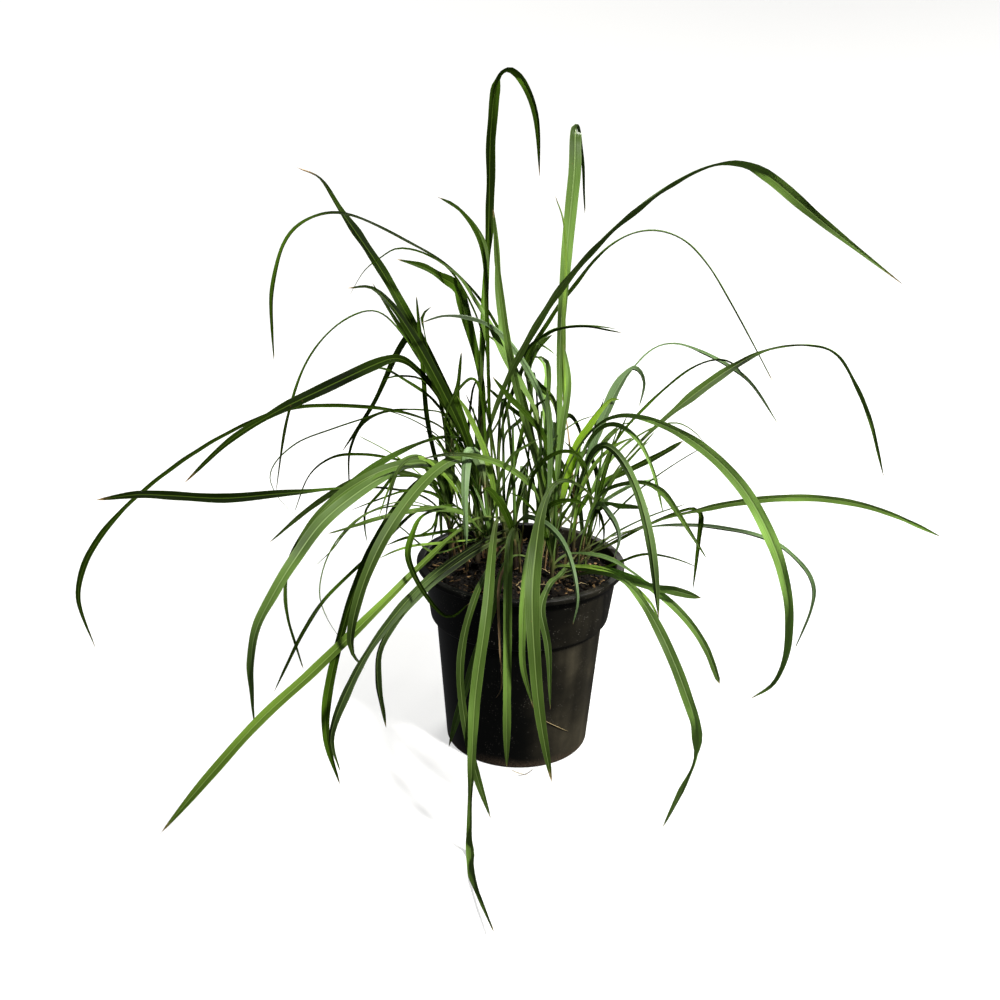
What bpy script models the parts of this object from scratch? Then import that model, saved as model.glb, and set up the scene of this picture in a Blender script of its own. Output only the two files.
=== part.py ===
"""Potted lemongrass: a nursery pot of potting mix with tillers and long arching leaves."""

from __future__ import annotations

import math
import random
from dataclasses import dataclass
from typing import Iterable, Sequence

import bmesh
import bpy
import numpy as np
from mathutils import Matrix, Vector
from mathutils.bvhtree import BVHTree

OBJECT_NAME = "Potted Lemongrass"
MM = 0.001
CM = 0.01

# Pot, all radii and heights in metres
LIP_RADIUS = 0.0950
LIP_TOP = 0.1790
LIP_UNDER = 0.1744
BAND_TOP_RADIUS = 0.0886
BAND_FOOT_RADIUS = 0.0820
BAND_FOOT = 0.1270
BODY_TOP_RADIUS = 0.0768
BASE_RADIUS = 0.0668
WALL = 0.0018
FLOOR = 0.0026
POT_SIDES = 40
DRAIN_HOLES = 6
DRAIN_RING = 0.046
DRAIN_RADIUS = 0.0045

# Potting mix
SOIL_LEVEL = 0.1622
SOIL_RISE = 0.0050
SOIL_SIDES = 28
SOIL_GAP = 0.0004
CLUMP_X = -0.004
CLUMP_Y = 0.018
CLUMP_HALF_X = 0.074
CLUMP_HALF_Y = 0.047
FOOT_PITCH = 0.0088

# Stems and leaves
STEM_SIDES = 6
STEM_TAPER = 0.5
STEM_ROOM = 0.0042
FOOT_GAP = 0.0012
LEAF_RINGS = 12
FINE_LEAF_RINGS = 9
TRAIL_HEIGHT = 0.0022
LOWEST_CORNER = 0.0008


@dataclass(frozen=True)
class Blade:
    """One leaf, read along its length in the reference view.

    Attributes:
        name: Node name, or the fine leaf's own name.
        width: Width at the widest place, in millimetres.
        tone: Colour family.
        face: Degrees by which the flat is turned from the viewer, spread evenly root to tip.
        route: (u, v, near) stations, pixels across and down and centimetres towards the viewer.
        fused: True where the leaf grows out of a tiller and is one solid with it.
        widths: Shares of the width, spread evenly root to tip; empty for the usual outline.
    """

    name: str
    width: float
    tone: str
    face: tuple[float, ...]
    route: tuple[tuple[float, float, float], ...]
    fused: bool = False
    widths: tuple[float, ...] = ()


@dataclass(frozen=True)
class Tiller:
    """One stem: its foot on the soil and its top, both read in the reference view."""

    name: str
    foot: tuple[float, float]
    top: tuple[float, float, float]
    radius: float


BLADES = (
    Blade(
        "tall_mid", 10, "deep", (10, 0, 0, 60, 20, 30),
        (
            (484, 440, -4), (484, 345, -5), (488, 195, -7), (493, 105, -7.5), (499, 73, -7),
            (512, 69, -5.5), (526, 87, -4), (536, 118, -3), (539, 176, -2.5),
        ),
        widths=(0.3, 0.4, 0.5, 0.62, 0.75, 0.9, 1, 0.85, 0.55, 0),
    ),
    Blade(
        "tall_right", 11, "light", (50, 30, 0, 0, 30, 60),
        (
            (556, 470, -1), (560, 320, -3), (567, 225, -4), (573, 155, -5), (575, 131, -6),
            (578, 129, -9), (582, 160, -11.5), (584, 213, -12),
        ),
        widths=(0.35, 0.45, 0.6, 0.75, 0.9, 1, 1, 1, 0.6, 0),
    ),
    Blade(
        "tall_right_small", 5, "bright", (30, 40, 60),
        (
            (558, 440, -1.5), (561, 330, -2), (564, 265, -2.5), (561, 212, -3), (555, 194, -3.5),
        ),
        fused=True,
    ),
    Blade(
        "arch_right_big", 11, "deep", (20, 20, 25, 40, 50, 62, 84, 10, 5, 20),
        (
            (484, 452, -3), (505, 381, -1), (545, 303, 3), (600, 241, 6), (660, 192, 8),
            (715, 165, 10), (757, 168, 12), (807, 205, 13), (858, 248, 14), (904, 282, 15),
        ),
        widths=(0.4, 0.6, 0.75, 0.8, 0.85, 0.85, 0.9, 1, 1, 0.65, 0),
    ),
    Blade(
        "arch_right_fine", 6, "deep", (20, 40, 80, 70, 40),
        (
            (499, 440, -2), (526, 357, -4), (562, 300, -7), (610, 244, -10), (652, 229, -12),
            (690, 244, -13), (727, 297, -14), (772, 381, -14),
        ),
        widths=(0.5, 0.8, 1, 0.9, 0.7, 0.6, 0.5, 0.35, 0),
    ),
    Blade(
        "stripe_left", 9.5, "mid", (30, 10, 10, 30, 60),
        (
            (478, 462, -6), (432, 364, -8), (391, 291, -10), (343, 213, -12), (319, 176, -12),
            (305, 169, -12), (295, 166, -12),
        ),
        widths=(0.3, 0.5, 0.65, 0.8, 0.95, 1, 1, 1, 0.85, 0.35, 0),
    ),
    Blade(
        "arch_left_fine", 6, "deep", (20, 30, 50, 60, 30),
        (
            (539, 480, -4), (521, 392, -5), (495, 322, -6), (451, 268, -7), (395, 234, -7),
            (340, 212, -6), (295, 229, -4), (273, 285, -2), (273, 360, 0),
        ),
        widths=(0.4, 0.7, 0.9, 1, 0.8, 0.7, 0.7, 0.8, 0.6, 0),
    ),
    Blade(
        "stripe_left_b", 7, "light", (40, 30, 30, 50),
        (
            (541, 490, -3), (524, 425, -3), (502, 350, -3), (478, 305, -3), (455, 272, -2.5),
            (432, 256, -2),
        ),
        fused=True,
    ),
    Blade(
        "fold_dark", 15, "deep", (20, 20, 20, 30, 50),
        (
            (484, 445, -5), (479, 365, -6), (467, 315, -7), (458, 287, -7.5), (444, 274, -6),
            (422, 264, -4), (396, 258, -2),
        ),
    ),
    Blade(
        "short_left", 5, "deep", (40, 40, 20),
        (
            (484, 345, -4.5), (485, 250, -6), (473, 224, -7), (455, 206, -7.5), (436, 195, -8),
        ),
        fused=True,
    ),
    Blade(
        "mid_up", 7, "mid", (30, 20, 10),
        (
            (517, 400, -2), (507, 348, -4), (500, 290, -5), (497, 240, -6), (494, 209, -6.5),
        ),
        fused=True,
    ),
    Blade(
        "mid_up_b", 4.5, "bright", (40, 40, 40),
        (
            (525, 430, -2), (511, 366, -3), (498, 305, -4), (489, 265, -5),
        ),
        fused=True,
    ),
    Blade(
        "hook_right", 5, "deep", (50, 60, 60, 50),
        (
            (496, 425, -2), (515, 365, -1), (541, 335, 1), (578, 325, 4), (622, 332, 7),
        ),
        fused=True,
    ),
    Blade(
        "stub_dark", 8, "deep", (20, 20, 50),
        (
            (527, 372, -6), (532, 355, -7), (541, 342, -8), (552, 333, -9),
        ),
        fused=True,
    ),
    Blade(
        "spike_left", 5, "deep", (50, 50, 30, 30),
        (
            (446, 500, -4), (434, 456, -4), (425, 395, -5), (420, 335, -6), (416, 295, -7),
        ),
        fused=True,
    ),
    Blade(
        "bundle_wide", 12, "deep", (30, 20, 30, 60),
        (
            (470, 455, -3), (440, 385, -3), (412, 335, -3), (390, 303, -3), (370, 286, -3),
            (346, 287, -3),
        ),
    ),
    Blade(
        "bundle_mid", 10, "deep", (20, 10, 30),
        (
            (475, 465, -8), (437, 385, -10), (402, 330, -12), (371, 281, -14),
        ),
    ),
    Blade(
        "cross_up", 8, "grey", (20, 10, 20, 50, 50),
        (
            (553, 440, -3), (537, 388, -3), (515, 350, -3), (492, 326, -2), (465, 316, -1),
            (440, 315, 0), (420, 322, 1),
        ),
    ),
    Blade(
        "cross_up_b", 5, "mid", (20, 30, 50),
        (
            (524, 412, -7), (512, 376, -8), (497, 342, -9), (478, 330, -10),
        ),
        fused=True,
    ),
    Blade(
        "arch_left_thin", 4, "deep", (50, 70, 70, 40, 30),
        (
            (450, 430, -5), (422, 366, -6), (400, 331, -7), (375, 310, -8), (345, 319, -8),
            (313, 351, -8), (291, 400, -7), (281, 452, -6), (275, 491, -5),
        ),
        fused=True,
    ),
    Blade(
        "drop_left", 7, "deep", (50, 30, 0, 40),
        (
            (452, 425, -9), (428, 360, -12), (414, 330, -14), (404, 340, -16), (388, 367, -17),
            (373, 402, -18), (357, 429, -18), (341, 451, -18),
        ),
        fused=True,
    ),
    Blade(
        "reach_left_wide", 10, "deep", (60, 40, 10, 10, 30),
        (
            (476, 470, -3.5), (448, 410, -3), (416, 368, -1), (391, 357, 2), (345, 378, 5),
            (285, 408, 8), (235, 438, 10), (185, 486, 12),
        ),
        widths=(0.4, 0.5, 0.6, 0.7, 0.9, 1, 1, 0.95, 0.8, 0.5, 0),
    ),
    Blade(
        "long_left", 9.5, "deep", (50, 50, 20, 30, 40, 20, 30),
        (
            (476, 478, -5), (446, 430, -8), (400, 411, -11), (340, 405, -14), (280, 411, -16),
            (217, 438, -17), (139, 494, -17), (89, 549, -15), (78, 595, -13), (97, 647, -11),
        ),
        widths=(0.5, 0.5, 0.5, 0.45, 0.45, 0.55, 0.7, 0.85, 1, 0.75, 0),
    ),
    Blade(
        "level_left", 8, "deep", (60, 60, 70, 82, 60, 10, 0, 10, 30),
        (
            (446, 520, -3), (426, 497, -1), (380, 486, 3), (320, 490, 7), (217, 498, 12),
            (140, 494, 15), (94, 500, 16),
        ),
        widths=(0.5, 0.6, 0.6, 0.6, 0.6, 0.85, 1, 0.75, 0),
    ),
    Blade(
        "speckled_left", 6, "mid", (50, 40, 20, 20),
        (
            (450, 510, -6), (425, 480, -9), (380, 473, -12), (340, 489, -14), (305, 513, -15),
            (268, 542, -16),
        ),
        fused=True,
    ),
    Blade(
        "grey_left", 8.5, "grey", (60, 50, 20, 20, 50, 60),
        (
            (480, 490, -4), (478, 450, -3), (452, 437, -1), (400, 452, 2), (345, 488, 6),
            (308, 526, 9), (288, 562, 10), (285, 605, 11), (303, 668, 11),
        ),
        widths=(0.4, 0.5, 0.6, 0.8, 0.95, 1, 0.9, 0.6, 0.4, 0),
    ),
    Blade(
        "light_left", 10.5, "light", (60, 40, 10, 0, 10, 50, 40),
        (
            (450, 525, -3), (437, 476, -1), (417, 457, 2), (385, 474, 6), (330, 512, 10),
            (285, 572, 14), (252, 633, 16), (249, 670, 16.5), (254, 722, 16.5),
        ),
        widths=(0.35, 0.4, 0.6, 0.75, 0.85, 0.95, 1, 0.95, 0.6, 0.5, 0),
    ),
    Blade(
        "light_left_b", 4.5, "light", (50, 30, 30),
        (
            (452, 520, -2), (436, 472, 0), (418, 456, 3), (401, 463, 5), (390, 490, 7),
            (384, 520, 8),
        ),
        fused=True,
    ),
    Blade(
        "drape_left", 9.5, "light", (60, 50, 10, 0, 20, 40),
        (
            (480, 512, -2), (472, 467, 0), (455, 458, 3), (430, 474, 6), (395, 517, 10),
            (368, 568, 13), (352, 620, 15), (351, 651, 15.5), (364, 668, 16),
        ),
        widths=(0.3, 0.4, 0.5, 0.75, 0.95, 1, 1, 0.9, 0.6, 0),
    ),
    Blade(
        "drape_left_dark", 7, "deep", (60, 40, 20, 20, 30),
        (
            (460, 525, -3), (446, 470, -2), (425, 475, 1), (395, 507, 5), (362, 567, 10),
            (343, 630, 13), (329, 700, 15), (326, 735, 15.5), (338, 784, 15),
        ),
        widths=(0.4, 0.5, 0.7, 0.9, 1, 1, 1, 0.95, 0.7, 0),
    ),
    Blade(
        "over_rim_left", 7.5, "grey", (60, 20, 10, 10, 40),
        (
            (520, 530, -1), (500, 531, 2), (460, 554, 6), (415, 590, 11), (386, 627, 14),
            (350, 684, 17), (333, 725, 18), (331, 745, 18), (340, 771, 18),
        ),
        widths=(0.3, 0.4, 0.6, 0.85, 1, 1, 0.95, 0.85, 0.6, 0),
    ),
    Blade(
        "over_rim_left_b", 7, "grey", (60, 30, 20, 50, 20),
        (
            (515, 538, -1), (492, 541, 3), (450, 567, 7), (410, 600, 10), (384, 635, 12),
            (377, 670, 13), (384, 727, 13),
        ),
        fused=True,
    ),
    Blade(
        "bright_left", 8.8, "bright", (70, 50, 20, 10, 0),
        (
            (508, 524, -1), (480, 516, 2), (450, 536, 6), (400, 584, 11), (330, 654, 14),
            (257, 721, 16), (161, 831, 18.5),
        ),
        widths=(0.25, 0.3, 0.45, 0.6, 0.75, 0.9, 1, 1, 0.9, 0.6, 0),
    ),
    Blade(
        "fold_front", 9, "grey", (30, 10, 10, 20),
        (
            (480, 500, -1), (479, 462, -1), (473, 451, 0), (468, 453, 2), (467, 480, 4), (465, 515, 5),
            (468, 545, 6),
        ),
        fused=True,
    ),
    Blade(
        "front_centre", 13.5, "light", (60, 40, 5, 0, 0, 10),
        (
            (597, 508, -1), (578, 484, 1), (558, 480, 4), (544, 500, 8), (536, 545, 12.5),
            (531, 620, 16), (534, 695, 18), (541, 745, 19), (549, 781, 19.5),
        ),
        widths=(0.2, 0.2, 0.25, 0.6, 0.85, 1, 1, 0.85, 0.65, 0.55, 0),
    ),
    Blade(
        "front_centre_b", 7.5, "mid", (40, 20, 10, 30),
        (
            (546, 515, 2), (536, 530, 8), (527, 565, 11), (522, 620, 13), (523, 670, 14),
            (533, 707, 15),
        ),
        widths=(0.3, 0.5, 0.8, 1, 1, 0.95, 0.8, 0.5, 0),
    ),
    Blade(
        "front_mid", 7.2, "light", (60, 20, 0, 0, 10),
        (
            (516, 530, 1), (510, 535, 5), (507, 570, 9), (505, 640, 12), (505, 705, 13.5),
            (505, 767, 14),
        ),
        widths=(0.4, 0.5, 0.7, 0.9, 1, 1, 1, 0.95, 0.9, 0.6, 0),
    ),
    Blade(
        "front_long", 9.8, "light", (60, 30, 10, 0, 20, 40, 50, 40),
        (
            (505, 520, -1), (496, 520, 3), (491, 555, 8), (484, 630, 13), (474, 700, 16),
            (471, 760, 17.5), (469, 820, 18.8), (470, 850, 20.4), (474, 878, 22.7),
            (482, 904, 25.6), (496, 931, 28.5),
        ),
        widths=(0.35, 0.4, 0.5, 0.75, 0.95, 1, 0.8, 0.55, 0.5, 0.4, 0),
    ),
    Blade(
        "front_cross", 8.5, "light", (50, 60, 20, 30, 40),
        (
            (530, 560, 0.5), (519, 554, 3), (509, 557, 5.2), (500, 575, 8.2), (495, 592, 10),
            (486, 624, 11.2), (470, 672, 13), (448, 746, 14.5),
        ),
        widths=(0.4, 0.5, 0.7, 0.9, 1, 1, 0.9, 0.7, 0),
    ),
    Blade(
        "front_left", 6.5, "mid", (60, 30, 20, 20),
        (
            (508, 545, 1), (492, 562, 6), (474, 597, 11), (460, 655, 14), (463, 712, 16),
            (476, 775, 18), (490, 817, 19),
        ),
        widths=(0.4, 0.5, 0.7, 0.8, 0.9, 1, 1, 1, 1, 0.7, 0),
    ),
    Blade(
        "right_of_centre", 5, "light", (60, 30, 20, 20),
        (
            (575, 555, 0), (561, 572, 4), (547, 587, 8), (542, 615, 11), (551, 662, 12),
            (549, 709, 12),
        ),
        fused=True,
    ),
    Blade(
        "rim_right_drop", 5.5, "grey", (60, 30, 20, 20),
        (
            (514, 528, 0), (530, 516, 3), (552, 528, 7), (569, 556, 10), (577, 600, 12),
            (572, 624, 12),
        ),
        fused=True,
    ),
    Blade(
        "drop_right_grey", 8, "grey", (60, 40, 10, 5, 20),
        (
            (573, 508, 0), (588, 458, 2), (604, 444, 5), (624, 463, 9), (641, 503, 12),
            (652, 555, 14), (658, 617, 15),
        ),
        widths=(0.3, 0.4, 0.6, 0.8, 0.95, 1, 1, 0.95, 0.8, 0.5, 0),
    ),
    Blade(
        "fine_right", 5, "light", (50, 50, 20, 20),
        (
            (566, 500, -2), (586, 443, -2), (608, 423, 0), (633, 434, 3), (650, 463, 5),
            (663, 514, 6),
        ),
        fused=True,
    ),
    Blade(
        "big_arch_right", 11, "light", (50, 50, 30, 10, 10, 30, 50),
        (
            (556, 495, 0), (576, 449, 1), (604, 419, 3), (640, 416, 6), (704, 448, 10),
            (750, 498, 13), (780, 565, 15), (789, 630, 15), (772, 684, 14), (749, 698, 13),
        ),
        widths=(0.3, 0.3, 0.35, 0.5, 0.85, 1, 1, 1, 0.8, 0.5, 0),
    ),
    Blade(
        "level_right", 7, "mid", (60, 50, 30, 20, 30),
        (
            (575, 566, -1), (605, 544, 1), (665, 518, 0), (740, 501, -1), (812, 497, -2),
            (870, 507, -3), (940, 537, -4),
        ),
    ),
    Blade(
        "level_right_b", 5.5, "grey", (60, 50, 30, 40, 50),
        (
            (578, 553, -1), (608, 538, -1), (660, 526, -4), (720, 527, -8), (780, 545, -11),
            (812, 588, -12), (792, 648, -12),
        ),
    ),
    Blade(
        "reach_right", 11.5, "mid", (60, 40, 5, 10, 72, 30, 20),
        (
            (586, 525, -4), (622, 462, -6), (662, 420, -8), (703, 386, -10), (757, 353, -12),
            (800, 344, -13), (836, 352, -14), (858, 390, -14), (880, 477, -13),
        ),
        widths=(0.25, 0.35, 0.6, 0.85, 1, 1, 0.75, 0.55, 0.5, 0.4, 0),
    ),
    Blade(
        "thin_right", 4.5, "deep", (50, 50, 70, 60),
        (
            (580, 520, -5), (612, 442, -7), (650, 402, -9), (695, 367, -11), (727, 362, -12),
            (744, 378, -13),
        ),
        fused=True,
    ),
    Blade(
        "thin_right_high", 4.5, "grey", (50, 40, 70, 30, 40),
        (
            (572, 520, -4), (600, 430, -7), (628, 376, -9), (658, 346, -11), (683, 345, -12),
            (722, 361, -14), (750, 382, -15), (777, 423, -15),
        ),
        fused=True,
    ),
    Blade(
        "hook_right_small", 8.5, "grey", (50, 10, 40, 50),
        (
            (570, 515, -3), (598, 424, -5), (616, 383, -6), (631, 367, -7), (644, 380, -8),
            (639, 407, -8),
        ),
        fused=True,
        widths=(0.3, 0.4, 0.7, 1, 0.8, 0.5, 0),
    ),
    Blade(
        "backlit_right", 8, "backlit", (60, 30, 10, 40),
        (
            (560, 505, -2), (575, 447, -3), (597, 414, -4), (611, 398, -5), (620, 399, -5.5),
        ),
        fused=True,
    ),
    Blade(
        "spear_right", 6, "deep", (60, 40, 20, 10),
        (
            (570, 530, -3), (592, 489, -4), (625, 472, -6), (658, 456, -7), (683, 441, -8),
        ),
    ),
    Blade(
        "arch_right_low", 5.5, "mid", (60, 60, 20, 10),
        (
            (580, 545, 0), (600, 493, 2), (640, 481, 5), (665, 492, 7), (686, 524, 8), (707, 559, 9),
        ),
    ),
    Blade(
        "rim_right", 6.5, "mid", (60, 50, 20, 20),
        (
            (560, 575, 1), (592, 566, 3), (632, 576, 6), (668, 600, 9), (700, 637, 11),
            (719, 683, 12),
        ),
        widths=(0.4, 0.6, 0.8, 0.9, 1, 1, 1, 0.9, 0.6, 0),
    ),
    Blade(
        "rim_right_long", 8.8, "light", (60, 40, 10, 5, 76, 10),
        (
            (556, 580, 2), (592, 571, 5), (625, 581, 8), (652, 617, 11), (680, 678, 14),
            (697, 738, 16), (690, 771, 16.5), (672, 803, 17), (664, 828, 17.5),
        ),
        widths=(0.4, 0.5, 0.6, 0.75, 0.9, 1, 1, 1, 0.6, 0.55, 0),
    ),
    Blade(
        "rim_right_blunt", 6, "deep", (50, 30, 20),
        ((565, 566, 1), (600, 569, 4), (640, 583, 7), (675, 590, 8), (701, 597, 9)),
        fused=True,
        widths=(0.4, 0.6, 0.8, 1, 1, 1, 0.85),
    ),
    Blade(
        "hang_right", 5, "deep", (60, 60, 20, 20),
        (
            (590, 552, -3), (655, 521, -3), (697, 508, -3), (701, 528, -2), (694, 560, -1.5),
            (693, 590, -1),
        ),
        fused=True,
    ),
    Blade(
        "loop_left", 6, "deep", (60, 30, 10, 20, 50),
        (
            (462, 530, 0), (440, 511, 4), (416, 525, 8), (408, 555, 11), (425, 594, 13),
            (448, 616, 14), (470, 601, 14),
        ),
    ),
    Blade(
        "under_left", 4, "mid", (60, 50, 40, 30),
        (
            (480, 520, -3), (450, 509, 0), (410, 510, 3), (370, 520, 5), (328, 533, 6),
        ),
        fused=True,
    ),
    Blade(
        "fan_left", 4, "deep", (60, 40, 30, 30),
        (
            (455, 530, -3), (425, 505, 1), (375, 549, 5), (335, 587, 9), (306, 621, 12),
            (272, 692, 14),
        ),
        fused=True,
    ),
    Blade(
        "low_arch_left", 4, "deep", (60, 60, 50, 40),
        ((500, 510, -2), (462, 494, -5), (425, 487, -8), (385, 494, -10), (350, 509, -11)),
        fused=True,
    ),
    Blade(
        "dark_arch", 6, "deep", (60, 30, 20, 30),
        (
            (544, 505, -2), (520, 475, 0), (490, 459, 2), (455, 453, 4), (423, 457, 6),
        ),
        fused=True,
    ),
    Blade(
        "curl_mid", 6, "deep", (60, 60, 30, 20),
        (
            (484, 440, -2), (478, 384, -1), (468, 378, 1), (450, 401, 3), (444, 430, 4),
            (454, 457, 5),
        ),
        fused=True,
    ),
    Blade(
        "spear_mid", 5, "deep", (30, 20, 20),
        (
            (452, 470, -8), (447, 420, -9), (457, 385, -10), (461, 350, -11),
        ),
        fused=True,
    ),
    Blade(
        "dark_cross", 6, "deep", (20, 20, 20),
        (
            (556, 455, -6), (540, 428, -7), (514, 410, -8), (484, 384, -9),
        ),
        fused=True,
    ),
    Blade(
        "hook_mid", 5, "light", (40, 20, 50),
        (
            (549, 450, -5), (545, 405, -6), (547, 372, -7), (540, 357, -8), (523, 354, -9),
        ),
        fused=True,
    ),
    Blade(
        "pale_mid", 8, "light", (30, 10, 20),
        (
            (555, 490, 0), (561, 430, 0), (568, 380, 0), (563, 343, -1),
        ),
    ),
    Blade(
        "side_arch_low", 4.5, "deep", (60, 60, 40),
        (
            (470, 480, -5), (447, 415, -7), (405, 409, -9), (368, 418, -11), (352, 450, -12),
            (350, 497, -12),
        ),
        fused=True,
    ),
    Blade(
        "thin_arch_low", 3.5, "deep", (60, 60, 20, 60),
        (
            (462, 505, -6), (430, 470, -8), (375, 455, -11), (340, 454, -12), (312, 472, -13),
            (293, 512, -13),
        ),
        fused=True,
    ),
    Blade(
        "small_right_a", 4.5, "grey", (60, 30, 20),
        (
            (584, 530, 1), (597, 503, 3), (614, 517, 6), (620, 536, 7), (614, 558, 8),
        ),
        fused=True,
    ),
    Blade(
        "small_right_b", 3, "deep", (60, 40, 40),
        (
            (586, 535, 0), (597, 509, 1), (603, 526, 2), (602, 548, 3),
        ),
        fused=True,
    ),
    Blade(
        "small_right_c", 4, "light", (60, 40, 30),
        (
            (586, 530, -2), (602, 505, 0), (625, 505, 2), (648, 510, 4),
        ),
        fused=True,
    ),
    Blade(
        "small_right_d", 3.5, "grey", (60, 40, 30),
        (
            (582, 530, -4), (602, 501, -5), (632, 485, -7), (662, 479, -9),
        ),
        fused=True,
    ),
    Blade(
        "dry_front", 2.5, "dry", (30, 30, 30),
        (
            (508, 552, 4), (498, 585, 9.5), (499, 640, 11.5), (500, 690, 12), (495, 697, 12),
        ),
        fused=True,
    ),
    Blade(
        "back_middle", 11, "mid", (40, 20, 60, 20, 10),
        (
            (512, 480, -4), (508, 420, -7), (503, 398, -12), (499, 420, -18),
            (498, 480, -23), (502, 548, -25),
        ),
    ),
    Blade(
        "back_right", 10, "light", (40, 20, 60, 20, 10),
        (
            (540, 480, -4), (548, 435, -8), (553, 423, -13), (558, 450, -19),
            (560, 505, -24), (557, 560, -26),
        ),
    ),
    Blade(
        "back_right_wide", 11, "deep", (40, 20, 60, 20, 10),
        ((562, 490, -4), (578, 457, -8), (588, 452, -13), (597, 478, -18), (599, 530, -22)),
    ),
    Blade(
        "back_left", 11, "mid", (40, 20, 60, 20, 10),
        (
            (486, 492, -5), (470, 462, -11), (455, 450, -16), (443, 470, -21),
            (440, 515, -24), (443, 562, -26),
        ),
    ),
    Blade(
        "back_left_high", 10, "deep", (40, 20, 60, 20, 10),
        (
            (495, 460, -5), (484, 400, -9), (476, 380, -13), (470, 402, -18),
            (467, 455, -22), (470, 520, -25),
        ),
    ),
    Blade(
        "back_high", 8, "deep", (40, 20, 60, 20, 10),
        (
            (528, 450, -5), (531, 390, -9), (533, 372, -13), (536, 396, -17),
            (540, 450, -21), (543, 520, -24),
        ),
    ),
    Blade(
        "back_low", 9, "light", (40, 20, 60, 20, 10),
        (
            (520, 500, -5), (522, 470, -9), (523, 468, -13), (525, 500, -18),
            (524, 560, -21), (521, 605, -22),
        ),
        fused=True,
    ),
    Blade(
        "back_low_left", 7, "mid", (40, 20, 60, 20, 10),
        ((492, 505, -5), (485, 478, -9), (480, 478, -13), (474, 510, -17), (470, 560, -20)),
        fused=True,
    ),
    Blade(
        "back_low_right", 7, "mid", (40, 20, 60, 20, 10),
        ((556, 505, -5), (566, 480, -9), (573, 482, -13), (580, 512, -17), (583, 565, -19)),
        fused=True,
    ),
    Blade(
        "back_short", 6, "deep", (40, 20, 60, 20, 10),
        ((548, 470, -5), (558, 430, -9), (566, 415, -12), (575, 420, -15), (584, 445, -17)),
        fused=True,
    ),
)

TILLERS = (
    Tiller("tiller_left", (450, 562), (446, 440, -4), 0.0026),
    Tiller("tiller_left_mid", (477, 562), (478, 405, -4), 0.0030),
    Tiller("tiller_back", (504, 553), (502, 400, -6), 0.0026),
    Tiller("tiller_middle", (515, 569), (512, 425, -1), 0.0030),
    Tiller("tiller_middle_right", (536, 563), (541, 410, -2), 0.0028),
    Tiller("tiller_right", (555, 561), (557, 385, -3), 0.0030),
    Tiller("tiller_right_back", (572, 554), (580, 430, -5), 0.0026),
    Tiller("tiller_right_lean", (584, 566), (602, 445, -1), 0.0028),
    Tiller("tiller_front_left", (492, 577), (482, 470, 1), 0.0028),
    Tiller("tiller_front_right", (551, 579), (556, 480, 2), 0.0028),
)


class SightLines:
    """Turns a place seen in the reference view into metres."""

    def __init__(self) -> None:
        """Set up the eye and the picture's axes."""
        pitch, turn, roll = (math.radians(v) for v in (19.56, 1.168, 0.97))
        self.ahead = np.array(
            [-math.sin(turn) * math.cos(pitch), math.cos(turn) * math.cos(pitch), -math.sin(pitch)]
        )
        level = np.cross(self.ahead, (0.0, 0.0, 1.0))
        level = level / np.linalg.norm(level)
        upright = np.cross(level, self.ahead)
        self.right = level * math.cos(roll) + upright * math.sin(roll)
        self.up = upright * math.cos(roll) - level * math.sin(roll)
        self.eye = np.array([0.0, -0.9305, 0.565])
        self.focal = 1100.0

    def ray(self, u: float, v: float) -> np.ndarray:
        """Give the direction of a pixel's sight line.

        Args:
            u: Pixels across.
            v: Pixels down.

        Returns:
            The direction, one unit deep along the line of sight.
        """
        across = (u - 500.0) / self.focal
        down = (v - 500.0) / self.focal
        return self.ahead + self.right * across - self.up * down

    def at(self, u: float, v: float, near: float) -> np.ndarray:
        """Give the place that a pixel shows at a distance in front of the pot's middle.

        Args:
            u: Pixels across.
            v: Pixels down.
            near: Centimetres towards the viewer.

        Returns:
            The place in metres, never below the surface that the pot stands on.
        """
        ray = self.ray(u, v)
        place = self.eye + ray * ((-near * CM - self.eye[1]) / ray[1])
        if place[2] >= TRAIL_HEIGHT:
            return place
        return self.on_level(u, v, TRAIL_HEIGHT)

    def on_level(self, u: float, v: float, height: float) -> np.ndarray:
        """Give the place on a pixel's sight line at a height."""
        ray = self.ray(u, v)
        return self.eye + ray * ((height - self.eye[2]) / ray[2])


def flowing(points: np.ndarray, steps: int = 14) -> np.ndarray:
    """Run a smooth curve through the points.

    Args:
        points: Stations, one row each.
        steps: Samples between two stations.

    Returns:
        The samples, one row each.
    """
    padded = np.vstack([2 * points[0] - points[1], points, 2 * points[-1] - points[-2]])
    gaps = np.maximum(1e-5, np.linalg.norm(np.diff(padded, axis=0), axis=1)) ** 0.5
    samples = []
    for i in range(1, len(padded) - 2):
        p0, p1, p2, p3 = padded[i - 1:i + 3]
        t1 = float(gaps[i - 1])
        t2 = t1 + float(gaps[i])
        t3 = t2 + float(gaps[i + 1])
        t = np.linspace(t1, t2, steps, endpoint=False)[:, None]
        a1 = (t1 - t) / t1 * p0 + t / t1 * p1
        a2 = (t2 - t) / (t2 - t1) * p1 + (t - t1) / (t2 - t1) * p2
        a3 = (t3 - t) / (t3 - t2) * p2 + (t - t2) / (t3 - t2) * p3
        b1 = (t2 - t) / t2 * a1 + t / t2 * a2
        b2 = (t3 - t) / (t3 - t1) * a2 + (t - t1) / (t3 - t1) * a3
        samples.append((t2 - t) / (t2 - t1) * b1 + (t - t1) / (t2 - t1) * b2)
    samples.append(points[-1:])
    return np.vstack(samples)


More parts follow.
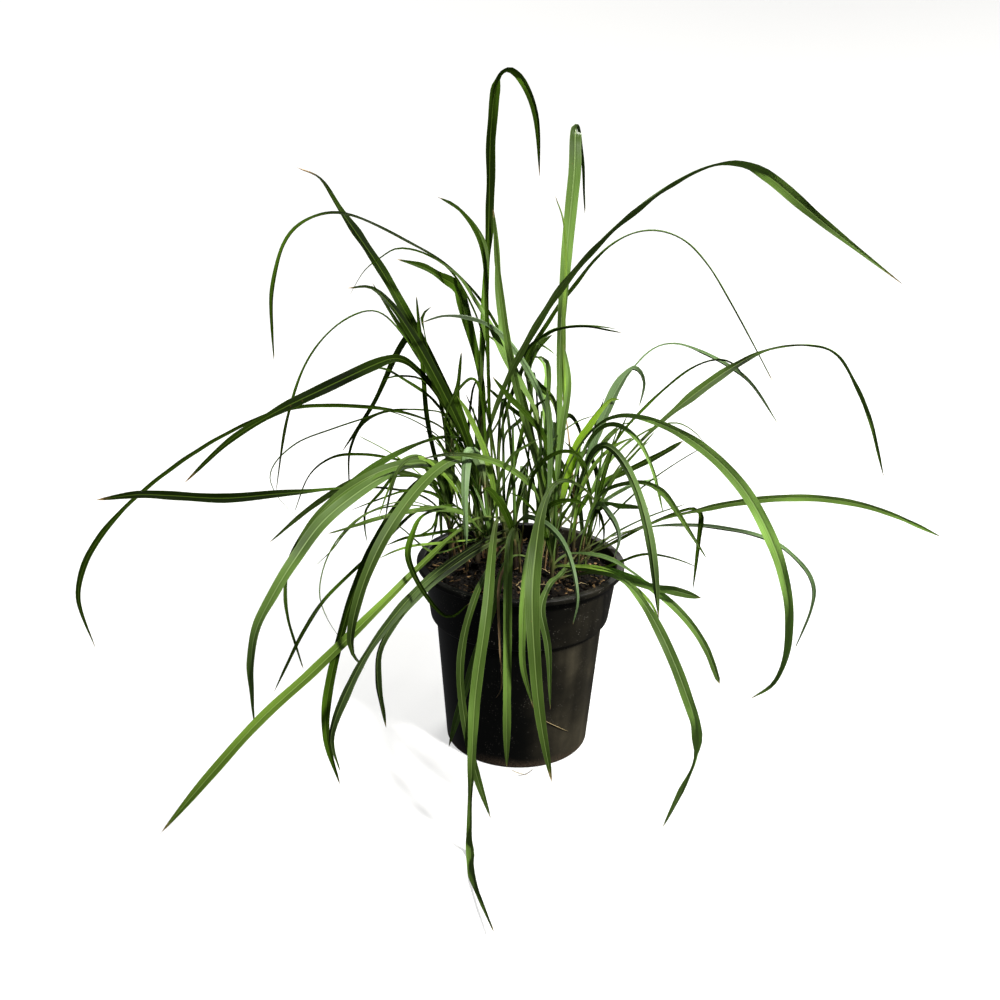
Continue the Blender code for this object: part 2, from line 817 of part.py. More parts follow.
def evenly(line: np.ndarray, count: int) -> np.ndarray:
    """Sample a line again at even distances along it.

    Args:
        line: Places, one row each.
        count: Number of samples.

    Returns:
        The samples, one row each.
    """
    steps = np.linalg.norm(np.diff(line, axis=0), axis=1)
    along = np.concatenate([[0.0], np.cumsum(steps)])
    wanted = np.linspace(0.0, along[-1], count)
    return np.stack([np.interp(wanted, along, line[:, axis]) for axis in range(3)], axis=1)


def smooth_row(values: Sequence[float], s: float) -> float:
    """Read a row of values, spread evenly over 0 to 1, with soft steps between them.

    Args:
        values: The row.
        s: Where to read it, 0 to 1.

    Returns:
        The value there.
    """
    pick = min(1.0, max(0.0, s)) * (len(values) - 1)
    low = min(len(values) - 2, int(pick))
    mix = pick - low
    mix = mix * mix * (3 - 2 * mix) * 0.5 + mix * 0.5
    return values[low] * (1 - mix) + values[low + 1] * mix


class Strand:
    """The middle line of a leaf with the way its flat faces and its width along it."""

    SAMPLES = 121

    def __init__(self, blade: Blade, points: np.ndarray, sight: SightLines) -> None:
        """Lay the line and turn the flat as it was read in the reference view.

        Args:
            blade: The leaf.
            points: Its stations in metres, foot first.
            sight: The reference view.
        """
        self.blade = blade
        self.shares = np.linspace(0.0, 1.0, self.SAMPLES)
        line = evenly(flowing(points), self.SAMPLES)
        for _ in range(2):
            line[1:-1] = (line[:-2] + 2 * line[1:-1] + line[2:]) / 4
        self.line = line
        self.length = float(np.linalg.norm(np.diff(line, axis=0), axis=1).sum())
        tangent = np.gradient(line, axis=0)
        self.tangent = tangent / np.linalg.norm(tangent, axis=1, keepdims=True)
        bend = np.linalg.norm(np.gradient(self.tangent, axis=0), axis=1)
        self.bend = bend / (self.length / (self.SAMPLES - 1))
        self._turn(sight)

    def _turn(self, sight: SightLines) -> None:
        """Work out the normal and the side direction at each sample.

        Args:
            sight: The reference view, which the flat was read in.
        """
        count = self.SAMPLES
        s = np.linspace(0.0, 1.0, count)
        face = np.interp(s, np.linspace(0.0, 1.0, len(self.blade.face)), self.blade.face)
        look = sight.eye - self.line
        look = look / np.linalg.norm(look, axis=1, keepdims=True)
        flat = look - self.tangent * np.sum(look * self.tangent, axis=1, keepdims=True)
        tangents = [Vector(row) for row in self.tangent]
        along = Vector(flat[0]).normalized()
        rows = [along]
        for tangent in tangents[1:]:
            along = (along - tangent * along.dot(tangent)).normalized()
            rows.append(along)
        carried = np.array(rows)
        beside = np.cross(self.tangent, carried)
        trust = np.sum(flat * flat, axis=1) + 0.01
        wanted = np.arctan2(np.sum(flat * beside, axis=1), np.sum(flat * carried, axis=1))
        wanted = wanted + np.radians(face)
        angles: list[float] = []
        for value in wanted.tolist():
            if angles:
                value += math.pi * round((angles[-1] - value) / math.pi)
            angles.append(value)
        angle = np.array(angles)
        for _ in range(2):
            soft = np.convolve(np.pad(angle * trust, 4, mode="edge"), np.ones(9) / 9, "valid")
            weight = np.convolve(np.pad(trust, 4, mode="edge"), np.ones(9) / 9, "valid")
            angle = soft / weight
        turn = np.cos(angle)[:, None]
        lean = np.sin(angle)[:, None]
        self.normal = carried * turn + beside * lean
        middle = count // 2
        seen_above = float(look[middle] @ self.normal[middle]) > 0.0
        if seen_above == (self.blade.tone == "grey"):
            self.normal = -self.normal
        self.side = np.cross(self.tangent, self.normal)

    def at(self, s: float) -> tuple[np.ndarray, np.ndarray, np.ndarray]:
        """Give the middle line's place and axes.

        Args:
            s: Share of the length, 0 at the foot.

        Returns:
            The place, the side direction and the normal.
        """
        pick = s * (self.SAMPLES - 1)
        low = min(self.SAMPLES - 2, int(pick))
        mix = pick - low
        place, side, normal = (
            row[low] * (1 - mix) + row[low + 1] * mix for row in (self.line, self.side, self.normal)
        )
        return place, side / np.linalg.norm(side), normal / np.linalg.norm(normal)

    def half_width(self, s: float) -> float:
        """Give half the leaf's width.

        Args:
            s: Share of the length, 0 at the foot.

        Returns:
            Half the width in metres.
        """
        full = self.blade.width * MM / 2
        if self.blade.widths:
            return full * smooth_row(self.blade.widths, s)
        slim = min(full, max(0.0013, full * 0.3))
        rise = min(1.0, max(0.0, (s - 0.04) / 0.38))
        rise = rise * rise * (3 - 2 * rise)
        fall = max(0.0, (s - 0.55) / 0.45)
        return (slim + (full - slim) * rise) * max(0.0, 1 - fall ** 1.7)

    def cuts(self, count: int) -> list[float]:
        """Choose where rings go: even along the length, closer together in the bends.

        Args:
            count: Number of rings, the tip included.

        Returns:
            Their shares of the length.
        """
        bend = np.linalg.norm(np.diff(self.tangent, axis=0), axis=1)
        spin = np.linalg.norm(np.diff(self.normal, axis=0), axis=1)
        weight = np.full(self.SAMPLES - 1, 1.0 / (self.SAMPLES - 1)) + bend * 0.24 + spin * 0.05
        total = np.concatenate([[0.0], np.cumsum(weight)])
        shares = np.linspace(0.0, 1.0, self.SAMPLES)
        return [float(v) for v in np.interp(np.linspace(0, total[-1], count), total, shares)]


Form = tuple[np.ndarray, list[tuple[int, ...]]]


def leaf_form(strand: Strand, rings: int, keeled: bool, swell: float = 0.0) -> Form:
    """Build the plain closed solid of a leaf.

    Args:
        strand: Its middle line.
        rings: Number of cross-sections before the tip.
        keeled: True for a folded section of four corners, False for three.
        swell: Extra size on all sides, in metres, used to keep clear of other pieces.

    Returns:
        Corners and triangles.
    """
    corners: list[np.ndarray] = []
    shares = strand.cuts(rings + 1)
    size = 4 if keeled else 3
    for s in shares[:-1]:
        place, side, normal = strand.at(s)
        half = strand.half_width(s)
        fold = half * (0.30 if s > 0.12 else 0.55)
        fold = fold / (1 + 3 * half * float(np.interp(s, strand.shares, strand.bend)))
        depth = min(0.0010, 0.00045 + half * 0.13)
        left = place - side * (half + swell) + normal * fold
        right = place + side * (half + swell) + normal * fold
        keel = place - normal * (depth + swell)
        if keeled:
            corners += [left, place + normal * swell, right, keel]
        else:
            corners += [left, right, keel - normal * 0.0002]
    corners.append(strand.line[-1])
    faces: list[tuple[int, ...]] = []
    for ring in range(rings - 1):
        low, high = ring * size, (ring + 1) * size
        for k in range(size):
            n = (k + 1) % size
            a, b, c, d = low + k, low + n, high + n, high + k
            across = np.linalg.norm(corners[a] - corners[c])
            other = np.linalg.norm(corners[b] - corners[d])
            faces += [(a, b, c), (a, c, d)] if across <= other else [(a, b, d), (b, c, d)]
    last = (rings - 1) * size
    tip = len(corners) - 1
    for k in range(size):
        faces.append((last + k, last + (k + 1) % size, tip))
    if keeled:
        faces += [(0, 3, 1), (1, 3, 2)]
    else:
        faces.append((0, 2, 1))
    return np.array(corners), faces


def stem_form(foot: np.ndarray, top: np.ndarray, radius: float) -> Form:
    """Give a tapering stem, level at both ends, for clearance tests.

    Args:
        foot: Middle of its foot.
        top: Middle of its top.
        radius: Radius at the foot, in metres.

    Returns:
        Corners and triangles.
    """
    corners: list[np.ndarray] = []
    for middle, reach in ((foot, radius), (top, radius * STEM_TAPER)):
        for k in range(STEM_SIDES):
            angle = math.tau * k / STEM_SIDES
            corners.append(middle + np.array([math.cos(angle), math.sin(angle), 0.0]) * reach)
    faces: list[tuple[int, ...]] = []
    for k in range(STEM_SIDES):
        n = (k + 1) % STEM_SIDES
        faces += [(k, n, STEM_SIDES + n), (k, STEM_SIDES + n, STEM_SIDES + k)]
    for k in range(1, STEM_SIDES - 1):
        faces += [(0, k + 1, k), (STEM_SIDES, STEM_SIDES + k, STEM_SIDES + k + 1)]
    return np.array(corners), faces


def soil_height(x: float, y: float) -> float:
    """Give the level of the potting mix.

    Args:
        x: Place across, in metres.
        y: Place away from the viewer, in metres.

    Returns:
        The height in metres.
    """
    mound = ((x - CLUMP_X) / 0.075) ** 2 + ((y - CLUMP_Y) / 0.055) ** 2
    rise = SOIL_RISE * math.exp(-mound)
    out = min(1.0, mound * 0.6)
    rough = math.sin(x * 210 + 1.3) * math.cos(y * 170 + 0.4) + math.sin(x * 95 - y * 130)
    return SOIL_LEVEL + rise + rough * 0.0007 * out


class Item:
    """A placed solid kept for clearance tests."""

    def __init__(self, group: str, form: Form) -> None:
        """Keep the tree and its bounds.

        Args:
            group: Name of the piece that the solid belongs to.
            form: Its corners and triangles.
        """
        self.group = group
        corners, faces = form
        self.low = corners.min(axis=0)
        self.high = corners.max(axis=0)
        self.tree = BVHTree.FromPolygons([tuple(c) for c in corners], faces, epsilon=0.0)

    def meets(self, other: Item) -> int:
        """Count the pairs of triangles in which two solids meet.

        Args:
            other: The other solid.

        Returns:
            The number of pairs.
        """
        if np.any(self.low > other.high) or np.any(other.low > self.high):
            return 0
        return len(self.tree.overlap(other.tree))


class Thicket:
    """Places stems and leaves so that none passes through another.

    Leaves only move along their sight lines, so the reference view stays as it was read.
    """

    CLEARANCE = 0.0004
    TRIES = 120
    RANKS = 5

    def __init__(self, solids: Iterable[Form]) -> None:
        """Start from the solids that stand fast.

        Args:
            solids: The pot and the potting mix.
        """
        self.sight = SightLines()
        self.items = [Item("fixed", form) for form in solids]
        self.spots = self._spots()
        self.stems: dict[str, tuple[np.ndarray, np.ndarray, float]] = {}
        self.strands: dict[str, Strand] = {}
        self.owner: dict[str, str] = {}
        self.tight: dict[str, int] = {}

    @staticmethod
    def _spots() -> list[np.ndarray]:
        """Lay out the places on the soil where a leaf can stand.

        Returns:
            The places across and away, in staggered rows.
        """
        spots = []
        rows = int(CLUMP_HALF_Y / (FOOT_PITCH * 0.866)) + 1
        for row in range(-rows, rows + 1):
            for column in range(-12, 13):
                x = (column + 0.5 * (row % 2)) * FOOT_PITCH
                y = row * FOOT_PITCH * 0.866
                if (x / CLUMP_HALF_X) ** 2 + (y / CLUMP_HALF_Y) ** 2 <= 1.0:
                    spots.append(np.array([x + CLUMP_X, y + CLUMP_Y]))
        return spots

    def foot_near(self, x: float, y: float, rank: int = 0) -> np.ndarray:
        """Find the free place on the soil nearest to the one wanted.

        Args:
            x: Wanted place across, in metres.
            y: Wanted place away from the viewer, in metres.
            rank: 0 for the nearest free place, 1 for the next, and so on.

        Returns:
            The place, on the soil with a small gap.
        """
        wanted = np.array([x, y])
        order = sorted(self.spots, key=lambda spot: float(np.linalg.norm(spot - wanted)))
        spot = order[min(rank, len(order) - 1)]
        return np.array([spot[0], spot[1], soil_height(spot[0], spot[1]) + FOOT_GAP])

    def take(self, foot: np.ndarray) -> None:
        """Mark the place under a foot as taken."""
        self.spots = [spot for spot in self.spots if abs(spot - foot[:2]).max() > 1e-6]

    def stand(self, tiller: Tiller) -> None:
        """Set a stem on the soil.

        Args:
            tiller: The stem.
        """
        seen = self.sight.on_level(tiller.foot[0], tiller.foot[1], SOIL_LEVEL + 0.003)
        level = soil_height(float(seen[0]), float(seen[1]))
        foot = np.array([seen[0], seen[1], level + FOOT_GAP])
        room = tiller.radius + STEM_ROOM
        self.spots = [spot for spot in self.spots if np.linalg.norm(spot - foot[:2]) > room]
        top = self.sight.at(*tiller.top)
        self.stems[tiller.name] = (foot, top, tiller.radius)
        self.items.append(Item(tiller.name, stem_form(foot, top, tiller.radius)))

    def stations(self, blade: Blade, rank: int) -> np.ndarray:
        """Give a leaf's stations in metres, from its foot or from its stem.

        Args:
            blade: The leaf.
            rank: 0 for the nearest foot or stem, 1 for the next.

        Returns:
            The stations, one row each.
        """
        seen = np.array([self.sight.at(*station) for station in blade.route])
        if blade.fused:
            order = sorted(self.stems, key=lambda key: self._reach(key, seen[0]))
            name = order[min(rank, 2)]
            self.owner[blade.name] = name
            foot, top, _ = self.stems[name]
            limit = (top[2] - foot[2]) * 0.82
            rise = min(limit, max(0.012, seen[0][2] - foot[2] - 0.03))
            shared = [key for key, stem in self.owner.items() if stem == name and key != blade.name]
            rise = rise * (1 - 0.07 * len(shared))
            share = rise / (top[2] - foot[2])
            start = foot + (top - foot) * share
            return np.vstack([start, start + (top - foot) * 0.08, seen])
        height = min(1.0, max(0.0, (seen[0][2] - SOIL_LEVEL) / 0.12))
        keep = 1 - 0.35 * height
        foot = self.foot_near(
            CLUMP_X + (float(seen[0][0]) - CLUMP_X) * keep,
            CLUMP_Y + (float(seen[0][1]) - CLUMP_Y) * keep,
            rank,
        )
        return np.vstack([foot, seen])

    def _reach(self, name: str, place: np.ndarray) -> float:
        """Measure how far a place is from a stem.

        Args:
            name: The stem.
            place: The place.

        Returns:
            The distance in metres.
        """
        foot, top, _ = self.stems[name]
        axis = top - foot
        share = float((place - foot) @ axis) / float(axis @ axis)
        nearest = foot + axis * min(0.8, max(0.1, share))
        return float(np.linalg.norm(place - nearest))

    def settle(self, blade: Blade, rings: int) -> None:
        """Place a leaf clear of everything placed before it.

        Args:
            blade: The leaf.
            rings: Number of cross-sections of its solid.
        """
        best: tuple[int, Strand, np.ndarray, str] | None = None
        for rank in range(self.RANKS):
            base = self.stations(blade, rank)
            hits, strand = self._ease(blade, rings, base, rank)
            if best is None or hits < best[0]:
                best = (hits, strand, base[0], self.owner.get(blade.name, blade.name))
            if hits == 0:
                break
        hits, strand, foot, group = best
        if hits:
            self.tight[blade.name] = hits
        if blade.fused:
            self.owner[blade.name] = group
        else:
            self.take(foot)
        self.strands[blade.name] = strand
        self.items.append(Item(group, leaf_form(strand, rings, not blade.fused)))

    def _ease(
        self, blade: Blade, rings: int, base: np.ndarray, rank: int
    ) -> tuple[int, Strand]:
        """Nudge a leaf's stations along their sight lines until it is clear.

        Args:
            blade: The leaf.
            rings: Number of cross-sections of its solid.
            base: Its stations before any nudge.
            rank: Which foot or stem it starts from.

        Returns:
            How many triangles still touch, and the middle line.
        """
        group = self.owner.get(blade.name, blade.name)
        others = [item for item in self.items if item.group != group]
        dice = random.Random(f"grass {blade.name} {rank}")
        still = 2 if blade.fused else 1
        held = np.zeros(len(base))
        best: tuple[int, Strand] | None = None
        for attempt in range(self.TRIES):
            push = np.zeros(len(base))
            if attempt:
                amount = 0.0012 + 0.00005 * attempt
                push = np.array([dice.gauss(0, 1) for _ in range(len(base))]) * amount
                if attempt % 2:
                    push = (np.roll(push, 1) + 2 * push + np.roll(push, -1)) / 2
                push = np.clip(held + push, -0.03, 0.03)
                push[:still] = 0.0
            away = self.sight.eye - base
            points = base + away / np.abs(away[:, 1:2]) * push[:, None]
            points[:, 2] = np.maximum(points[:, 2], TRAIL_HEIGHT)
            strand = Strand(blade, points, self.sight)
            form = leaf_form(strand, rings, not blade.fused, self.CLEARANCE)
            trial = Item(group, form)
            hits = sum(trial.meets(item) for item in others)
            hits += int((form[0][:, 2] < LOWEST_CORNER).sum())
            if best is None or hits < best[0]:
                best = (hits, strand)
                held = push
            if hits == 0:
                break
        return best


def pot_outline() -> list[tuple[float, float]]:
    """Give the pot's cut, outside from the bottom, then inside down.

    Returns:
        Radius and height of each corner, in metres.
    """
    return [
        (0.0, 0.0),
        (BASE_RADIUS - 0.0022, 0.0),
        (BASE_RADIUS - 0.0006, 0.0006),
        (BASE_RADIUS, 0.0024),
        (BODY_TOP_RADIUS, BAND_FOOT - 0.0008),
        (BAND_FOOT_RADIUS - 0.0006, BAND_FOOT),
        (BAND_FOOT_RADIUS, BAND_FOOT + 0.0012),
        (BAND_TOP_RADIUS, LIP_UNDER - 0.0006),
        (LIP_RADIUS - 0.0010, LIP_UNDER),
        (LIP_RADIUS, LIP_UNDER + 0.0010),
        (LIP_RADIUS, LIP_TOP - 0.0010),
        (LIP_RADIUS - 0.0010, LIP_TOP),
        (BAND_TOP_RADIUS - 0.0008, LIP_TOP),
        (BAND_TOP_RADIUS - WALL, LIP_TOP - 0.0012),
        (BAND_FOOT_RADIUS - WALL, BAND_FOOT + 0.0030),
        (BODY_TOP_RADIUS - WALL, BAND_FOOT - 0.0012),
        (BASE_RADIUS - WALL, FLOOR + 0.0008),
        (BASE_RADIUS - WALL - 0.0010, FLOOR),
        (0.0, FLOOR),
    ]


def turned_form(outline: Sequence[tuple[float, float]], sides: int) -> Form:
    """Turn an outline about the upright axis, for clearance tests.

    Args:
        outline: Radius and height of each corner.
        sides: Number of sides.

    Returns:
        Corners and triangles.
    """
    corners: list[tuple[float, float, float]] = []
    for radius, height in outline:
        for k in range(sides):
            angle = math.tau * k / sides
            corners.append((radius * math.cos(angle), radius * math.sin(angle), height))
    faces: list[tuple[int, ...]] = []
    for row in range(len(outline) - 1):
        for k in range(sides):
            n = (k + 1) % sides
            a, b = row * sides + k, row * sides + n
            c, d = (row + 1) * sides + n, (row + 1) * sides + k
            faces += [(a, b, c), (a, c, d)]
    return np.array(corners), faces


def inner_radius(height: float) -> float:
    """Give the pot's inner radius.

    Args:
        height: Height above the surface that the pot stands on.

    Returns:
        The radius in metres.
    """
    rows = pot_outline()[13:17]
    heights = [row[1] for row in reversed(rows)]
    radii = [row[0] for row in reversed(rows)]
    return float(np.interp(height, heights, radii))


def soil_outline() -> list[tuple[float, float]]:
    """Give the potting mix's cut, from the bottom's middle to the top's.

    Returns:
        Radius and height of each corner, in metres.
    """
    edge = inner_radius(SOIL_LEVEL - 0.0016) - SOIL_GAP
    rows = [(0.0, FLOOR + 0.0006)]
    for height in (FLOOR + 0.0012, BAND_FOOT - 0.0012, BAND_FOOT + 0.0030):
        rows.append((inner_radius(height) - SOIL_GAP, height))
    rows += [(edge * share, SOIL_LEVEL) for share in (1.0, 0.83, 0.68, 0.52, 0.34, 0.16, 0.0)]
    return rows


def soil_form() -> Form:
    """Give the potting mix's plain solid, for clearance tests.

    Returns:
        Corners and triangles.
    """
    corners, faces = turned_form(soil_outline(), SOIL_SIDES)
    for corner in corners:
        if corner[2] > SOIL_LEVEL - 0.001:
            corner[2] = soil_height(float(corner[0]), float(corner[1]))
    return corners, faces


def place_all(blades: Sequence[Blade], tillers: Sequence[Tiller]) -> Thicket:
    """Stand the stems, then settle every leaf clear of the rest.

    Args:
        blades: The leaves, in the order in which they are placed.
        tillers: The stems.

    Returns:
        The placed clump.
    """
    thicket = Thicket([turned_form(pot_outline(), POT_SIDES), soil_form()])
    for tiller in tillers:
        thicket.stand(tiller)
    for blade in blades:
        if not blade.fused:
            thicket.settle(blade, LEAF_RINGS)
    for blade in blades:
        if blade.fused:
            thicket.settle(blade, FINE_LEAF_RINGS)
    return thicket


class PartBuilder:
    """Builds the nodes of the part."""

    COLOURS = {
        "deep": (0.035, 0.085, 0.022, 1.0),
        "mid": (0.060, 0.140, 0.030, 1.0),
        "light": (0.110, 0.230, 0.055, 1.0),
        "bright": (0.150, 0.280, 0.050, 1.0),
        "grey": (0.120, 0.220, 0.095, 1.0),
        "backlit": (0.200, 0.340, 0.030, 1.0),
        "dry": (0.420, 0.280, 0.130, 1.0),
        "stem": (0.130, 0.110, 0.050, 1.0),
        "pot": (0.012, 0.012, 0.012, 1.0),
        "soil": (0.024, 0.015, 0.010, 1.0),
    }

    def __init__(self) -> None:
        """Empty the file and make the collections."""
        for thing in list(bpy.data.objects):
            bpy.data.objects.remove(thing, do_unlink=True)
        scene = bpy.context.scene
        self.collection = bpy.data.collections.new(OBJECT_NAME)
        self.cutters = bpy.data.collections.new("Cutters")
        scene.collection.children.link(self.collection)
        scene.collection.children.link(self.cutters)
        self.cutters.hide_render = True

    def material(self, name: str, tone: str, roughness: float) -> bpy.types.Material:
        """Make the plain material of one node.

        Args:
            name: The node's name.
            tone: Key of its colour.
            roughness: Roughness of its surface.

        Returns:
            The material.
        """
        material = bpy.data.materials.new(name + "_material")
        material.use_nodes = True
        shader = material.node_tree.nodes["Principled BSDF"]
        shader.inputs["Base Color"].default_value = self.COLOURS[tone]
        shader.inputs["Roughness"].default_value = roughness
        return material

    def keep(self, mesh: bpy.types.Mesh, tone: str, cutter: bool = False) -> bpy.types.Object:
        """Put a mesh in the file as an object with its own material.

        Args:
            mesh: The mesh.
            tone: Key of its colour.
            cutter: True for a shape that only serves to cut or join.

        Returns:
            The object.
        """
        thing = bpy.data.objects.new(mesh.name, mesh)
        thing.data.materials.append(self.material(mesh.name, tone, 0.55))
        if cutter:
            thing.display_type = "WIRE"
            thing.hide_render = True
            self.cutters.objects.link(thing)
        else:
            self.collection.objects.link(thing)
        return thing

    def loft(self, name: str, form: Form, tone: str, cutter: bool = False) -> bpy.types.Object:
        """Make a leaf, a loft through sections that change along its length.

        Args:
            name: The object's name.
            form: Corners and triangles.
            tone: Key of its colour.
            cutter: True for a leaf that is joined to a stem.

        Returns:
            The object.
        """
        corners, faces = form
        mesh = bpy.data.meshes.new(name)
        mesh.from_pydata([tuple(c) for c in corners], [], faces)
        work = bmesh.new()
        work.from_mesh(mesh)
        bmesh.ops.recalc_face_normals(work, faces=work.faces[:])
        work.to_mesh(mesh)
        work.free()
        return self.keep(mesh, tone, cutter)

    def pot(self) -> None:
        """Turn the pot and cut its drain holes."""
        thing = self.turned("pot", pot_outline(), POT_SIDES, "pot")
        for k in range(DRAIN_HOLES):
            angle = math.tau * (k + 0.5) / DRAIN_HOLES + 0.037
            work = bmesh.new()
            place = Matrix.Translation(
                (DRAIN_RING * math.cos(angle), DRAIN_RING * math.sin(angle), 0.0)
            )
            bmesh.ops.create_cone(
                work, cap_ends=True, segments=8, radius1=DRAIN_RADIUS, radius2=DRAIN_RADIUS,
                depth=4 * FLOOR, matrix=place @ Matrix.Rotation(0.11, 4, "Z"),
            )
            mesh = bpy.data.meshes.new(f"drain_{k}")
            work.to_mesh(mesh)
            work.free()
            hole = self.keep(mesh, "pot", cutter=True)
            cut = thing.modifiers.new(f"Drain {k}", "BOOLEAN")
            cut.operation = "DIFFERENCE"
            cut.solver = "EXACT"
            cut.object = hole

    def turned(
        self, name: str, outline: Sequence[tuple[float, float]], sides: int, tone: str
    ) -> bpy.types.Object:
        """Turn an outline about the upright axis with a Screw modifier.

        Args:
            name: The object's name.
            outline: Radius and height of each corner.
            sides: Number of sides.
            tone: Key of its colour.

        Returns:
            The object.
        """
        mesh = bpy.data.meshes.new(name)
        points = [(radius, 0.0, height) for radius, height in reversed(outline)]
        mesh.from_pydata(points, [(i, i + 1) for i in range(len(points) - 1)], [])
        thing = self.keep(mesh, tone)
        turn = thing.modifiers.new("Turn", "SCREW")
        turn.axis = "Z"
        turn.angle = math.tau
        turn.steps = sides
        turn.render_steps = sides
        turn.use_merge_vertices = True
        turn.merge_threshold = 0.00001
        return thing

    def soil(self) -> None:
        """Turn the potting mix and raise its surface into a low uneven mound."""
        thing = self.turned("potting_mix", soil_outline(), SOIL_SIDES, "soil")
        view = bpy.context.evaluated_depsgraph_get()
        mesh = bpy.data.meshes.new_from_object(thing.evaluated_get(view))
        coarse = thing.data
        bpy.data.objects.remove(thing)
        bpy.data.meshes.remove(coarse)
        work = bmesh.new()
        work.from_mesh(mesh)
        bmesh.ops.remove_doubles(work, verts=work.verts[:], dist=0.00001)
        for corner in work.verts:
            if corner.co.z > SOIL_LEVEL - 0.001:
                corner.co.z = soil_height(corner.co.x, corner.co.y)
        bmesh.ops.triangulate(work, faces=work.faces[:])
        bmesh.ops.recalc_face_normals(work, faces=work.faces[:])
        work.to_mesh(mesh)
        work.free()
        mesh.name = "potting_mix"
        mesh.materials.clear()
        self.keep(mesh, "soil")

    def stem(self, name: str, foot: np.ndarray, top: np.ndarray, radius: float) -> bpy.types.Object:
        """Stand a tapering stem, leaned by a shear so that its foot stays level.

        Args:
            name: The object's name.
            foot: Middle of its foot.
            top: Middle of its top.
            radius: Radius at the foot, in metres.

        Returns:
            The object.
        """
        work = bmesh.new()
        tall = float(top[2] - foot[2])
        bmesh.ops.create_cone(
            work, cap_ends=True, segments=STEM_SIDES, radius1=radius, radius2=radius * STEM_TAPER,
            depth=tall, matrix=Matrix.Translation((0.0, 0.0, tall / 2)),
        )
        for corner in work.verts:
            share = corner.co.z / tall
            corner.co.x += float(foot[0] + (top[0] - foot[0]) * share)
            corner.co.y += float(foot[1] + (top[1] - foot[1]) * share)
            corner.co.z += float(foot[2])
        mesh = bpy.data.meshes.new(name)
        work.to_mesh(mesh)
        work.free()
        return self.keep(mesh, "stem")

    def build(self) -> None:
        """Make every node."""
        thicket = place_all(BLADES, TILLERS)
        self.pot()
        self.soil()
        for name, (foot, top, radius) in thicket.stems.items():
            stem = self.stem(name, foot, top, radius)
            for blade in BLADES:
                if thicket.owner.get(blade.name) != name:
                    continue
                form = leaf_form(thicket.strands[blade.name], FINE_LEAF_RINGS, False)
                leaf = self.loft("fine_" + blade.name, form, blade.tone, cutter=True)
                join = stem.modifiers.new("Join " + blade.name, "BOOLEAN")
                join.operation = "UNION"
                join.solver = "EXACT"
                join.object = leaf
        for blade in BLADES:
            if not blade.fused:
                form = leaf_form(thicket.strands[blade.name], LEAF_RINGS, True)
                self.loft("leaf_" + blade.name, form, blade.tone)
        if thicket.tight:
            print("Leaves that still touch:", thicket.tight)


PartBuilder().build()
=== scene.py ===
"""Potted lemongrass: the looks of a nursery pot, its potting mix, stems and arching leaves."""

from __future__ import annotations

import logging
import math
import random
from dataclasses import dataclass, field
from enum import Enum
from typing import Iterable, Mapping, Sequence

import bmesh
import bpy
import numpy as np
from mathutils import Matrix, Vector, noise

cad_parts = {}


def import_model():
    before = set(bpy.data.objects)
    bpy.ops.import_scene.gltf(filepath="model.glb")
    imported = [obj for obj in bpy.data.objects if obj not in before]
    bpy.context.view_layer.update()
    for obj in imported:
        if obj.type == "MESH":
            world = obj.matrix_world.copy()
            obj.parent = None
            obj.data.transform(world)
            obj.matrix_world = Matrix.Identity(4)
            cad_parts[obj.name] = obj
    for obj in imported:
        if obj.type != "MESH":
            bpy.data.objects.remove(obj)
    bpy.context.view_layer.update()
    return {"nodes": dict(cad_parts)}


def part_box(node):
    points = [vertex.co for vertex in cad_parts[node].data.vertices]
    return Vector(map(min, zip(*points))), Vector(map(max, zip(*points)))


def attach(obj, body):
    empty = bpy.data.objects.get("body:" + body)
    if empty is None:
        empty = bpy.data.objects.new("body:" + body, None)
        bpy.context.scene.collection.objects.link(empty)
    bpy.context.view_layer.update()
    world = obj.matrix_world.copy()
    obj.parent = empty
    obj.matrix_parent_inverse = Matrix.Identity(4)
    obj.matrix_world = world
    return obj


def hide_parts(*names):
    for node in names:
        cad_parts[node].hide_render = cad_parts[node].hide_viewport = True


LOG = logging.getLogger("potted_lemongrass")
MM = 0.001
CM = 0.01
UP = np.array([0.0, 0.0, 1.0])
CLUMP_MIDDLE = (-0.004, 0.018)

Colour = tuple[float, float, float]
Station = tuple[float, float, float]
Girth = tuple[tuple[float, float], ...]
Faces = list[tuple[int, ...]]


class Tone(Enum):
    """Colour families of the leaves, named after how they look in the reference view: partly the leaves'
    own greens and partly painted light and shade, with DEEP for leaves in shade, LIGHT and BRIGHT for lit
    leaves and BACKLIT for light through a leaf.
    """

    DEEP = "deep"
    MID = "mid"
    LIGHT = "light"
    BRIGHT = "bright"
    GREY = "grey"
    BACKLIT = "backlit"
    DRY = "dry"


class Dress(Enum):
    """Finishes other than a leaf's that a piece of the plant can wear."""

    SHEATH = "sheath"


